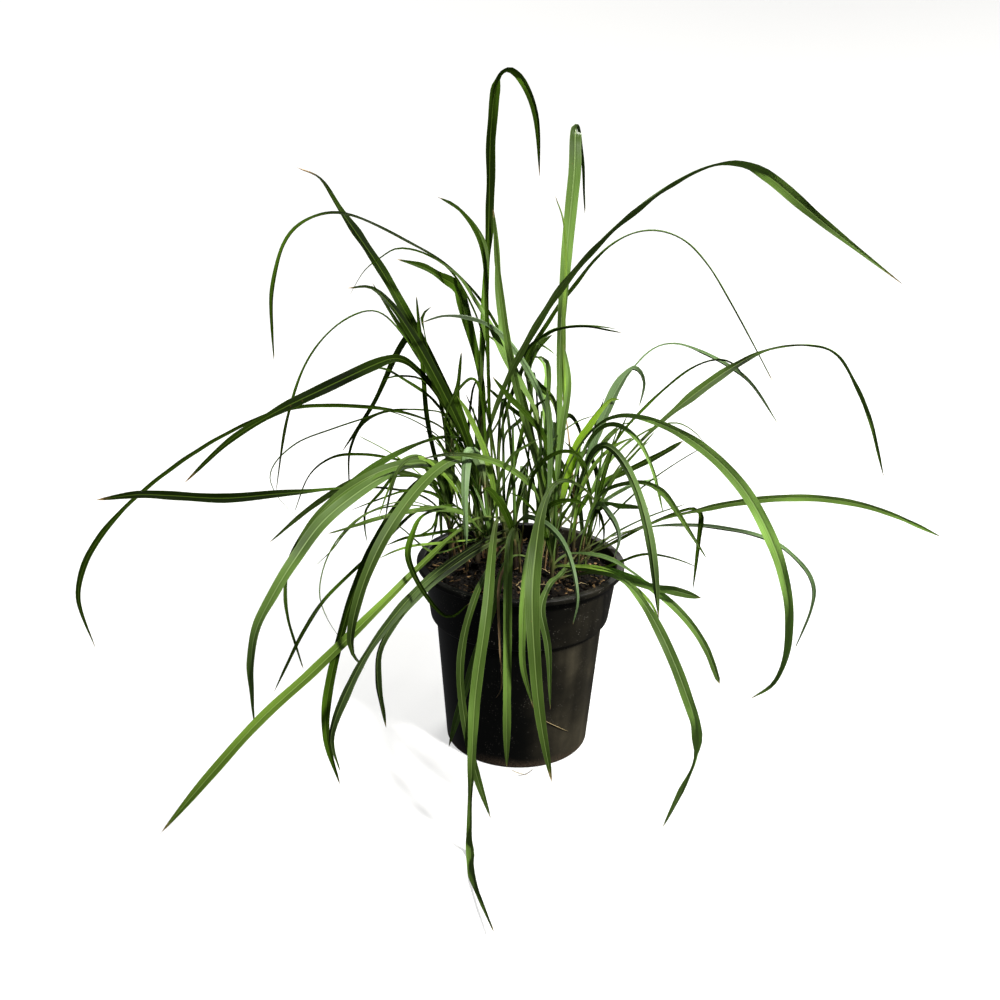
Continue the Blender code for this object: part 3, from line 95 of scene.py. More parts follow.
@dataclass(frozen=True)
class Viewpoint:
    """The reference view: where it was taken from and how wide it is.

    Attributes:
        eye: Place of the camera in metres.
        pitch: Degrees below level.
        turn: Degrees to the left of straight ahead.
        roll: Degrees of roll.
        focal: Focal length in pixels.
        middle: Half of the picture's side in pixels.
    """

    eye: Station = (0.0, -0.9305, 0.565)
    pitch: float = 19.50
    turn: float = 1.210
    roll: float = 0.97
    focal: float = 1100.0
    middle: float = 500.0

    def axes(self) -> tuple[np.ndarray, np.ndarray, np.ndarray]:
        """Give the picture's axes.

        Returns:
            The directions to the right, upwards and ahead.
        """
        pitch, turn, roll = (math.radians(v) for v in (self.pitch, self.turn, self.roll))
        ahead = np.array(
            [-math.sin(turn) * math.cos(pitch), math.cos(turn) * math.cos(pitch), -math.sin(pitch)]
        )
        level = np.cross(ahead, UP)
        level = level / np.linalg.norm(level)
        upright = np.cross(level, ahead)
        right = level * math.cos(roll) + upright * math.sin(roll)
        up = upright * math.cos(roll) - level * math.sin(roll)
        return right, up, ahead

    def at(self, u: float, v: float, near: float) -> np.ndarray:
        """Give the place that a pixel shows at a distance in front of the pot's middle.

        Args:
            u: Pixels across.
            v: Pixels down.
            near: Centimetres towards the viewer.

        Returns:
            The place in metres.
        """
        right, up, ahead = self.axes()
        ray = ahead + right * ((u - self.middle) / self.focal) - up * ((v - self.middle) / self.focal)
        eye = np.array(self.eye)
        return eye + ray * ((-near * CM - eye[1]) / ray[1])

    def camera(self) -> bpy.types.Object:
        """Set up the camera of the reference view.

        Returns:
            The camera.
        """
        data = bpy.data.cameras.new("reference_view")
        data.sensor_width = 36.0
        data.lens = self.focal / (2 * self.middle) * data.sensor_width
        data.clip_start = 0.02
        data.clip_end = 60.0
        camera = bpy.data.objects.new("reference_view", data)
        right, up, ahead = self.axes()
        turned = Matrix([list(row) for row in np.stack([right, up, -ahead], axis=1)]).to_4x4()
        camera.matrix_world = Matrix.Translation(self.eye) @ turned
        bpy.context.scene.collection.objects.link(camera)
        bpy.context.scene.camera = camera
        return camera


class Recipe:
    """The nodes of one material while it is made."""

    def __init__(self, name: str) -> None:
        """Start from an empty node tree.

        Args:
            name: The material's name.
        """
        self.material = bpy.data.materials.new(name)
        self.material.use_nodes = True
        self.tree = self.material.node_tree
        self.tree.nodes.clear()

    def node(
        self,
        kind: str,
        settings: Mapping[str, object] | None = None,
        sockets: Mapping[str | int, object] | None = None,
    ) -> bpy.types.Node:
        """Add a node.

        Args:
            kind: The node's type.
            settings: Its own settings, set first; "stops" holds a ramp's places and colours.
            sockets: What its sockets hold or are linked to.

        Returns:
            The node.
        """
        made = self.tree.nodes.new(kind)
        for key, setting in (settings or {}).items():
            if key == "stops":
                self._stops(made.color_ramp, setting)
            else:
                setattr(made, key, setting)
        for key, given in (sockets or {}).items():
            self._feed(made.inputs[key], given)
        return made

    @staticmethod
    def _stops(ramp: bpy.types.ColorRamp, stops: Iterable[tuple[float, Colour]]) -> None:
        """Set a ramp's stops.

        Args:
            ramp: The ramp.
            stops: Place and colour of each stop, two or more.
        """
        for index, (place, colour) in enumerate(stops):
            stop = ramp.elements[index] if index < 2 else ramp.elements.new(place)
            stop.position = place
            stop.color = (*colour, 1.0)

    def _feed(self, socket: bpy.types.NodeSocket, given: object) -> None:
        """Link or set a socket.

        Args:
            socket: The socket.
            given: A value, another socket, or a number or colour.
        """
        if isinstance(given, Value):
            given = given.socket
        if isinstance(given, bpy.types.NodeSocket):
            self.tree.links.new(given, socket)
        elif socket.type == "RGBA" and len(given) == 3:
            socket.default_value = (*given, 1.0)
        else:
            socket.default_value = given

    def attribute(self, name: str) -> Value:
        """Read a number kept on the mesh."""
        return Value(self, self.node("ShaderNodeAttribute", {"attribute_name": name}).outputs["Fac"])

    def parts(self, vector: object) -> tuple[Value, ...]:
        """Split a vector into its three numbers."""
        split = self.node("ShaderNodeSeparateXYZ", None, {0: vector})
        return tuple(Value(self, part) for part in split.outputs)

    def blade(self) -> tuple[Value, ...]:
        """Give how far across and along a leaf or stem a place is, and 0."""
        return self.parts(self.node("ShaderNodeUVMap", {"uv_map": "Blade"}).outputs[0])

    def place(self, stretch: Station = (1.0, 1.0, 1.0)) -> bpy.types.NodeSocket:
        """Give the place on the piece, stretched along each axis.

        Args:
            stretch: Factor along each axis.

        Returns:
            A vector socket.
        """
        where = self.node("ShaderNodeTexCoord").outputs["Object"]
        scaled = self.node("ShaderNodeVectorMath", {"operation": "MULTIPLY"}, {0: where, 1: stretch})
        return scaled.outputs[0]

    def noise(self, scale: float, detail: float = 2.0, where: object = None) -> Value:
        """Make cloudy noise.

        Args:
            scale: Features a metre.
            detail: Number of finer layers.
            where: The vector to read it at, or None for the place on the piece.

        Returns:
            A value around 0.5.
        """
        sockets = {"Vector": where or self.place(), "Scale": scale, "Detail": detail}
        return Value(self, self.node("ShaderNodeTexNoise", None, sockets).outputs[0])

    def cells(self, scale: float, where: object = None) -> Value:
        """Make the distance to the nearest of scattered points.

        Args:
            scale: Points a metre.
            where: The vector to read it at, or None for the place on the piece.

        Returns:
            A value from 0 at a point upwards.
        """
        sockets = {"Vector": where or self.place(), "Scale": scale}
        return Value(self, self.node("ShaderNodeTexVoronoi", None, sockets).outputs[0])

    def blend(self, share: object, first: object, second: object) -> object:
        """Mix two colours.

        Args:
            share: Share of the second.
            first: The first colour.
            second: The second colour.

        Returns:
            A colour socket.
        """
        settings = {"data_type": "RGBA", "clamp_factor": True}
        return self.node("ShaderNodeMix", settings, {0: share, 6: first, 7: second}).outputs[2]

    def brighten(self, colour: object, factor: object) -> bpy.types.NodeSocket:
        """Multiply a colour by a value."""
        scaled = self.node("ShaderNodeVectorMath", {"operation": "SCALE"}, {0: colour, 3: factor})
        return scaled.outputs[0]

    def bump(self, height: Value, depth: float, strength: float = 1.0) -> bpy.types.NodeSocket:
        """Give a normal from a height.

        Args:
            height: The height, from 0 to 1.
            depth: What 1 stands for, in metres.
            strength: Strength of the effect.

        Returns:
            A normal socket.
        """
        sockets = {"Height": height, "Distance": depth, "Strength": strength}
        return self.node("ShaderNodeBump", None, sockets).outputs[0]

    def surface(
        self, colour: object, rough: object, gloss: float, normal: object = None, glow: float = 0.0
    ) -> bpy.types.Node:
        """Add the main shader.

        Args:
            colour: Its colour.
            rough: Its roughness.
            gloss: Its specular level.
            normal: Its normal, or None for the plain one.
            glow: How strongly it shines white by itself.

        Returns:
            The shader.
        """
        sockets = {"Base Color": colour, "Roughness": rough, "Specular IOR Level": gloss}
        if normal is not None:
            sockets["Normal"] = normal
        if glow:
            sockets |= {"Emission Color": (1.0, 1.0, 0.995), "Emission Strength": glow}
        return self.node("ShaderNodeBsdfPrincipled", None, sockets)

    def close(self, shader: bpy.types.Node) -> bpy.types.Material:
        """Show a shader and give the material."""
        self.node("ShaderNodeOutputMaterial", None, {"Surface": shader.outputs[0]})
        return self.material


class Value:
    """A number that varies over a surface, with its arithmetic written as expressions."""

    def __init__(self, recipe: Recipe, socket: bpy.types.NodeSocket) -> None:
        """Keep the recipe and the socket that gives the number."""
        self.recipe = recipe
        self.socket = socket

    def _math(self, operation: str, first: object, second: object = 0.0) -> Value:
        """Add one Math node.

        Args:
            operation: Name of the operation.
            first: Its first number.
            second: Its second number.

        Returns:
            The result.
        """
        made = self.recipe.node("ShaderNodeMath", {"operation": operation}, {0: first, 1: second})
        return Value(self.recipe, made.outputs[0])

    def __add__(self, other: object) -> Value:
        """Add."""
        return self._math("ADD", self, other)

    def __radd__(self, other: object) -> Value:
        """Add to a plain number."""
        return self._math("ADD", other, self)

    def __sub__(self, other: object) -> Value:
        """Subtract."""
        return self._math("SUBTRACT", self, other)

    def __rsub__(self, other: object) -> Value:
        """Subtract from a plain number."""
        return self._math("SUBTRACT", other, self)

    def __mul__(self, other: object) -> Value:
        """Multiply."""
        return self._math("MULTIPLY", self, other)

    def __rmul__(self, other: object) -> Value:
        """Multiply a plain number."""
        return self._math("MULTIPLY", other, self)

    def __abs__(self) -> Value:
        """Drop the sign."""
        return self._math("ABSOLUTE", self)

    def sine(self) -> Value:
        """Take the sine."""
        return self._math("SINE", self)

    def rise(self, low: float, high: float) -> Value:
        """Rise smoothly from 0 to 1 between two numbers.

        Args:
            low: Where it is still 0.
            high: Where it is 1.

        Returns:
            The result.
        """
        sockets = {"Value": self, "From Min": low, "From Max": high}
        made = self.recipe.node("ShaderNodeMapRange", {"interpolation_type": "SMOOTHSTEP"}, sockets)
        return Value(self.recipe, made.outputs[0])


@dataclass(frozen=True)
class LeafFinish:
    """The skin of a leaf: satin green with parallel veins, a pale midrib and a dry tip, with painted
    light and shade: a lightness along the leaf, one half lighter than the other and darker grooves beside
    the midrib.

    Attributes:
        tone: Colour family.
        blade: Colour of the upper face.
        back: Colour of the underside.
        rib: Colour of the midrib.
        glow: Share of light that comes through.
        through: Colour of that light.
        gloss: Specular level.
    """

    tone: Tone
    blade: Colour
    back: Colour
    rib: Colour
    glow: float
    through: Colour
    gloss: float

    VEINS = 9.0
    SHEATH_GREEN = (0.150, 0.190, 0.060)
    SHEATH_FOOT = (0.200, 0.105, 0.060)
    DRY_LIGHT = (0.520, 0.360, 0.190)
    DRY_DARK = (0.170, 0.085, 0.035)

    def material(self) -> bpy.types.Material:
        """Make the material.

        Returns:
            The material.
        """
        recipe = Recipe(f"leaf_{self.tone.value}")
        across, along, _ = recipe.blade()
        shade = recipe.attribute("shade")
        dry = recipe.attribute("dry")
        cloud = recipe.noise(30.0, 3.0)
        fleck = recipe.noise(1100.0, 2.0)
        strands = ((across + (cloud - 0.5) * 0.03) * (math.tau * self.VEINS)).sine()
        off_rib = abs(across - 0.5) * 2.0
        rib = 1.0 - off_rib.rise(0.03, 0.13)
        # Painted shade: the grooves beside the midrib are painted darker.
        groove = off_rib.rise(0.10, 0.18) * (1.0 - off_rib.rise(0.18, 0.34))
        margin = off_rib.rise(0.84, 1.0)
        skin = recipe.blend(recipe.attribute("under"), self.blade, self.back)
        # Painted shade: one side of the midrib is painted lighter and the other darker, as light falls on
        # a folded blade; side and amount are random for each leaf.
        half = (across.rise(0.47, 0.53) - 0.5) * (shade - 0.5) * 0.9
        level = (0.74 + cloud * 0.34 + shade * 0.18) * (1.0 + strands * 0.09) * (1.0 + half)
        # Painted light and shade along the leaf, from the shine attribute; on thin young leaves it also
        # gives a random tone.
        level = level * recipe.attribute("painted_light_and_tone")
        level = level * (1.0 - (along + (cloud - 0.5) * 0.2).rise(0.72, 1.05) * 0.42)
        skin = recipe.brighten(skin, level * (1.0 - groove * 0.22) * (0.92 + fleck * 0.16))
        skin = recipe.blend(rib * 0.62, skin, self.rib)
        skin = recipe.blend(margin * 0.35, skin, self.rib)
        root = 1.0 - (along + (cloud - 0.5) * 0.06).rise(0.05, 0.30)
        skin = recipe.blend(root * 0.75, skin, self.SHEATH_GREEN)
        foot = 1.0 - (along + (cloud - 0.5) * 0.05).rise(0.01, 0.10)
        skin = recipe.blend(foot * 0.85, skin, self.SHEATH_FOOT)
        speck = (1.0 - recipe.cells(160.0).rise(0.03, 0.10)) * cloud.rise(0.50, 0.62)
        skin = recipe.blend(speck * 0.55, skin, self.DRY_DARK)
        end = (along + dry * 0.10 + (cloud - 0.5) * 0.05 + (fleck - 0.5) * 0.02).rise(0.985, 1.02)
        husk = recipe.blend(recipe.noise(260.0, 3.0).rise(0.35, 0.65), self.DRY_LIGHT, self.DRY_DARK)
        skin = recipe.blend(end, skin, husk)
        relief = strands * 0.25 + 0.5 + rib * 0.25 - groove * 0.25 + fleck * 0.25
        normal = recipe.bump(relief, 0.00022, 0.55)
        body = recipe.surface(skin, 0.34 + cloud * 0.20 + end * 0.30, self.gloss, normal)
        lit = recipe.node("ShaderNodeBsdfTranslucent", None, {"Color": self.through, "Normal": normal})
        mixed = recipe.node(
            "ShaderNodeMixShader", None, {0: self.glow, 1: body.outputs[0], 2: lit.outputs[0]}
        )
        return recipe.close(mixed)


LEAF_FINISHES = (
    # Partly painted light and shade: DEEP is darkened for leaves that lie in shade, LIGHT and BRIGHT are
    # lightened for lit leaves.
    LeafFinish(
        Tone.DEEP, (0.021, 0.045, 0.003), (0.027, 0.054, 0.007), (0.068, 0.114, 0.014),
        0.10, (0.130, 0.230, 0.004), 0.015,
    ),
    LeafFinish(
        Tone.MID, (0.058, 0.102, 0.018), (0.066, 0.110, 0.030), (0.150, 0.218, 0.060),
        0.14, (0.190, 0.330, 0.008), 0.07,
    ),
    LeafFinish(
        Tone.LIGHT, (0.098, 0.170, 0.036), (0.106, 0.176, 0.056), (0.220, 0.312, 0.110),
        0.16, (0.220, 0.380, 0.014), 0.09,
    ),
    LeafFinish(
        Tone.BRIGHT, (0.130, 0.220, 0.030), (0.135, 0.225, 0.045), (0.240, 0.350, 0.085),
        0.22, (0.300, 0.500, 0.018), 0.12,
    ),
    LeafFinish(
        Tone.GREY, (0.084, 0.144, 0.040), (0.096, 0.154, 0.062), (0.185, 0.260, 0.125),
        0.14, (0.190, 0.330, 0.022), 0.16,
    ),
    # Painted backlight: this paler yellow-green stands in for light coming through the leaf, on top of
    # its translucency.
    LeafFinish(
        Tone.BACKLIT, (0.200, 0.330, 0.022), (0.210, 0.340, 0.035), (0.300, 0.430, 0.060),
        0.40, (0.420, 0.660, 0.018), 0.16,
    ),
    LeafFinish(
        Tone.DRY, (0.330, 0.225, 0.115), (0.310, 0.210, 0.110), (0.420, 0.310, 0.180),
        0.12, (0.400, 0.250, 0.090), 0.15,
    ),
)


@dataclass(frozen=True)
class SheathFinish:
    """The skin of a stem: fibrous wrapped sheaths, brown at the foot and green above."""

    foot: Colour = (0.026, 0.015, 0.008)
    straw: Colour = (0.056, 0.054, 0.015)
    green: Colour = (0.056, 0.112, 0.014)

    def material(self) -> bpy.types.Material:
        """Make the material.

        Returns:
            The material.
        """
        recipe = Recipe("stem_sheath")
        around, height, _ = recipe.blade()
        streaks = recipe.noise(900.0, 3.0, recipe.place((1.0, 1.0, 0.05)))
        cloud = recipe.noise(70.0, 3.0)
        climb = height + (cloud - 0.5) * 0.25
        skin = recipe.blend(climb.rise(0.02, 0.22), self.foot, self.straw)
        skin = recipe.blend(climb.rise(0.10, 0.42), skin, self.green)
        skin = recipe.brighten(skin, 0.55 + streaks * 0.9)
        fibres = (around * (math.tau * 12.0)).sine() * 0.5 + 0.5
        relief = recipe.bump(fibres * 0.5 + streaks, 0.0002, 0.6)
        return recipe.close(recipe.surface(skin, 0.50 + streaks * 0.25, 0.3, relief))


@dataclass(frozen=True)
class PotFinish:
    """Black moulded plastic with fine dust, faint streaks, earth at its foot and a brownish haze, painted
    on its +X side only as sheen where the light falls.
    """

    black: Colour = (0.0016, 0.0017, 0.0016)
    film_and_painted_sheen: Colour = (0.082, 0.071, 0.046)
    dust: Colour = (0.260, 0.245, 0.210)
    earth: Colour = (0.085, 0.060, 0.040)

    def material(self) -> bpy.types.Material:
        """Make the material.

        Returns:
            The material.
        """
        recipe = Recipe("pot_plastic")
        across, _, height = recipe.parts(recipe.node("ShaderNodeTexCoord").outputs["Object"])
        cloud = recipe.noise(22.0, 4.0)
        grain = recipe.noise(1500.0, 2.0)
        streak = recipe.noise(160.0, 3.0, recipe.place((1.0, 1.0, 0.06)))
        speck = (1.0 - recipe.cells(520.0).rise(0.10, 0.26)) * recipe.noise(120.0, 2.0).rise(0.46, 0.62)
        band = height.rise(0.120, 0.130) * 0.6 + 0.4
        # Painted sheen: the brownish haze shows only on the +X side, painted lighter where the key light
        # falls, and the -X side stays black.
        side = (across + (cloud - 0.5) * 0.03).rise(0.005, 0.058)
        under = 1.0 - height.rise(0.118, 0.126) * 0.75
        film_and_painted_sheen = (0.30 + cloud.rise(0.35, 0.75) * 0.7) * (0.35 + streak * 0.5)
        film_and_painted_sheen = film_and_painted_sheen * (0.02 + side * (0.35 + under * 0.6))
        skin = recipe.blend(film_and_painted_sheen, self.black, self.film_and_painted_sheen)
        skin = recipe.blend(speck * band * 0.60, skin, self.dust)
        low = (1.0 - (height + (cloud - 0.5) * 0.012).rise(0.001, 0.012)) * grain.rise(0.40, 0.62)
        skin = recipe.blend(low * 0.8, skin, self.earth)
        rough = 0.30 + film_and_painted_sheen * 0.6 + speck * 0.25 + grain * 0.12 + low * 0.3
        relief = recipe.bump(grain * 0.6 + speck * 0.4, 0.00012, 0.5)
        return recipe.close(recipe.surface(skin, rough, 0.11, relief))


@dataclass(frozen=True)
class SoilFinish:
    """Dark damp peat and bark crumbs; the near-black ground colour is partly painted shade, standing in
    for the shade under the leaves.
    """

    # Partly painted shade: this near-black stands in for the shade of the leaves as well as the peat's
    # own colour.
    peat: Colour = (0.0022, 0.0016, 0.0013)
    crumb: Colour = (0.008, 0.0055, 0.0035)
    fibre: Colour = (0.090, 0.056, 0.026)

    def material(self) -> bpy.types.Material:
        """Make the material.

        Returns:
            The material.
        """
        recipe = Recipe("potting_mix_crumbs")
        lump = recipe.noise(260.0, 4.0)
        grain = recipe.noise(1300.0, 3.0)
        chip = 1.0 - recipe.cells(330.0, recipe.place((1.0, 1.6, 1.0))).rise(0.14, 0.34)
        skin = recipe.blend(lump.rise(0.46, 0.66), self.peat, self.crumb)
        skin = recipe.blend(chip * grain.rise(0.50, 0.68) * 0.7, skin, self.fibre)
        relief = recipe.bump(lump * 0.6 + grain * 0.4, 0.0012, 0.9)
        return recipe.close(recipe.surface(skin, 0.72 + grain * 0.25, 0.10, relief))


@dataclass(frozen=True)
class LitterFinish:
    """Bark, wood and straw bits, from near black to pale straw.

    Attributes:
        name: The material's name.
        stops: Place and colour of each shade, dark to pale.
    """

    name: str
    stops: tuple[tuple[float, Colour], ...]

    def material(self) -> bpy.types.Material:
        """Make the material.

        Returns:
            The material.
        """
        recipe = Recipe(self.name)
        grain = recipe.noise(900.0, 3.0)
        share = recipe.attribute("shade") + (grain - 0.5) * 0.25
        ramp = recipe.node("ShaderNodeValToRGB", {"stops": self.stops}, {0: share})
        skin = recipe.brighten(ramp.outputs[0], 0.75 + grain * 0.5)
        relief = recipe.bump(grain, 0.0004, 0.7)
        return recipe.close(recipe.surface(skin, 0.65 + grain * 0.3, 0.12, relief))


CRUMB_FINISH = LitterFinish(
    "bark_crumbs",
    (
        (0.0, (0.0014, 0.0011, 0.0009)), (0.62, (0.007, 0.005, 0.003)), (0.84, (0.052, 0.030, 0.013)),
        (1.0, (0.340, 0.210, 0.090)),
    ),
)
STRAW_FINISH = LitterFinish(
    "dry_straw",
    ((0.0, (0.045, 0.030, 0.013)), (0.5, (0.140, 0.095, 0.042)), (1.0, (0.420, 0.330, 0.170))),
)


@dataclass
class Gather:
    """Corners and faces of one piece, with what its finishes read from them."""

    corners: list[Sequence[float]] = field(default_factory=list)
    faces: Faces = field(default_factory=list)
    flat: list[tuple[float, float]] = field(default_factory=list)
    shade: list[float] = field(default_factory=list)
    painted_light_and_tone: list[float] = field(default_factory=list)
    dry: list[float] = field(default_factory=list)
    under: list[float] = field(default_factory=list)
    worn: list[Enum] = field(default_factory=list)

    def add(
        self,
        corners: Sequence[Sequence[float]],
        faces: Sequence[tuple[int, ...]],
        worn: Enum,
        flat: Sequence[tuple[float, float]] | None = None,
        shade: float = 0.5,
        dry: float = 0.0,
        under: Sequence[float] | None = None,
        painted_light_and_tone: Sequence[float] | None = None,
    ) -> None:
        """Add a closed form.

        Args:
            corners: Its corners.
            faces: Its faces.
            worn: The finish that it wears.
            flat: For each corner, how far across and along it is.
            shade: A number that makes it lighter or darker.
            dry: How far its tip has dried.
            under: For each face, 1 on an underside.
            painted_light_and_tone: For each corner, how light its colour is: painted light and shade on
                the traced leaves, a random tone on the thin young ones.
        """
        start = len(self.corners)
        self.corners.extend(corners)
        self.faces.extend(tuple(start + i for i in face) for face in faces)
        self.flat.extend(flat or [(0.5, 0.5)] * len(corners))
        self.shade.extend([shade] * len(corners))
        self.painted_light_and_tone.extend(painted_light_and_tone or [1.0] * len(corners))
        self.dry.extend([dry] * len(corners))
        self.under.extend(under or [0.0] * len(faces))
        self.worn.extend([worn] * len(faces))

    def piece(self, name: str, wardrobe: Wardrobe, crease: float = 50.0) -> bpy.types.Object:
        """Make the object.

        Args:
            name: Its name.
            wardrobe: The finishes.
            crease: Degrees over which an edge stays sharp.

        Returns:
            The object, riding on the root body.
        """
        mesh = bpy.data.meshes.new(name)
        mesh.from_pydata([tuple(c) for c in self.corners], [], self.faces)
        used = sorted(set(self.worn), key=lambda worn: worn.value)
        for worn in used:
            mesh.materials.append(wardrobe.get(worn))
        order = {worn: index for index, worn in enumerate(used)}
        mesh.polygons.foreach_set("material_index", [order[worn] for worn in self.worn])
        for key, domain, values in (
            ("shade", "POINT", self.shade), ("painted_light_and_tone", "POINT", self.painted_light_and_tone), ("dry", "POINT", self.dry),
            ("under", "FACE", self.under),
        ):
            mesh.attributes.new(key, "FLOAT", domain).data.foreach_set("value", values)
        layer = mesh.uv_layers.new(name="Blade")
        places = np.array(self.flat)[[loop.vertex_index for loop in mesh.loops]]
        layer.data.foreach_set("uv", places.ravel())
        mesh.shade_smooth()
        mesh.set_sharp_from_angle(angle=math.radians(crease))
        return settled(mesh)


def bands(start: int, rings: int, sides: int, order: Sequence[int] = (0, 1, 2, 3)) -> Faces:
    """Join neighbouring rings of corners by four-sided faces.

    Args:
        start: The first ring's first corner.
        rings: Number of rings.
        sides: Corners in each ring.
        order: How a face goes round: 0 is its own corner, 1 the same on the next ring, 2 that
            ring's next corner and 3 its own ring's next corner.

    Returns:
        The faces.
    """
    faces = []
    for low in range(start, start + (rings - 1) * sides, sides):
        for k in range(sides):
            n = (k + 1) % sides
            square = (low + k, low + sides + k, low + sides + n, low + n)
            faces.append(tuple(square[i] for i in order))
    return faces


def round_level(radius: float, height: float, sides: int) -> list[Station]:
    """Give the corners of a level ring around the pot's axis.

    Args:
        radius: Its radius.
        height: Its height.
        sides: Number of corners.

    Returns:
        The corners.
    """
    turns = [math.tau * k / sides for k in range(sides)]
    return [(radius * math.cos(angle), radius * math.sin(angle), height) for angle in turns]


def moulded(
    name: str,
    corners: Sequence[Station],
    faces: Faces,
    material: bpy.types.Material,
    crease: float | None = None,
    shades: Sequence[float] = (),
) -> bpy.types.Object:
    """Make a piece of one material in the pot.

    Args:
        name: Its name.
        corners: Its corners.
        faces: Its faces.
        material: Its material.
        crease: Degrees over which an edge stays sharp, or None where none does.
        shades: For each corner, how light it is.

    Returns:
        The object, riding on the root body.
    """
    mesh = bpy.data.meshes.new(name)
    mesh.from_pydata(corners, [], faces)
    if shades:
        mesh.attributes.new("shade", "FLOAT", "POINT").data.foreach_set("value", shades)
    mesh.shade_smooth()
    if crease is not None:
        mesh.set_sharp_from_angle(angle=math.radians(crease))
    mesh.materials.append(material)
    piece = settled(mesh)
    return piece


def settled(mesh: bpy.types.Mesh) -> bpy.types.Object:
    """Put a mesh in the scene as a piece that rides on the root body.

    Args:
        mesh: The mesh, in the part's own frame.

    Returns:
        The object.
    """
    piece = bpy.data.objects.new(mesh.name, mesh)
    bpy.context.scene.collection.objects.link(piece)
    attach(piece, "root")
    LOG.info("%s: %d faces", piece.name, len(mesh.polygons))
    return piece


class Wardrobe:
    """The finishes of the plant, each made once."""

    def __init__(self) -> None:
        """Make every material."""
        self.made: dict[Enum, bpy.types.Material] = {
            finish.tone: finish.material() for finish in LEAF_FINISHES
        }
        self.made[Dress.SHEATH] = SheathFinish().material()

    def get(self, worn: Enum) -> bpy.types.Material:
        """Give a finish's material."""
        return self.made[worn]


class Welded:
    """A CAD node's corners, each once, with its neighbours."""

    def __init__(self, node: bpy.types.Object) -> None:
        """Weld the node's corners.

        Args:
            node: The CAD node.
        """
        mesh = node.data
        corners = np.array([vertex.co[:] for vertex in mesh.vertices])
        self.corners, back = np.unique(np.round(corners, 6), axis=0, return_inverse=True)
        back = back.reshape(-1)
        self.near: list[set[int]] = [set() for _ in self.corners]
        mesh.calc_loop_triangles()
        for triangle in mesh.loop_triangles:
            a, b, c = (int(back[i]) for i in triangle.vertices)
            for first, second in ((a, b), (b, c), (c, a)):
                if first != second:
                    self.near[first].add(second)
                    self.near[second].add(first)

    def rings_from(self, tip: int, size: int) -> list[list[int]]:
        """Walk from a leaf's tip to its foot.

        Args:
            tip: The tip's corner.
            size: Corners in each cross-section.

        Returns:
            The cross-sections from the tip on, as far as each has that many corners.
        """
        seen = {tip}
        layer = set(self.near[tip])
        rings = []
        while len(layer) == size:
            rings.append(sorted(layer))
            seen |= layer
            layer = set().union(*(self.near[i] for i in layer)) - seen
        return rings

    def leaves(self, size: int, least: int) -> list[LeafLine]:
        """Find the leaves of the node.

        Args:
            size: Corners in each cross-section.
            least: Fewest cross-sections of a leaf.

        Returns:
            Their middle lines, from left to right by their tips.
        """
        found = []
        for tip in range(len(self.corners)):
            if len(self.near[tip]) != size:
                continue
            rings = self.rings_from(tip, size)
            if len(rings) >= least:
                found.append(LeafLine.read(self.corners, rings, tip))
        return sorted(found, key=lambda line: float(line.places[-1][0]))


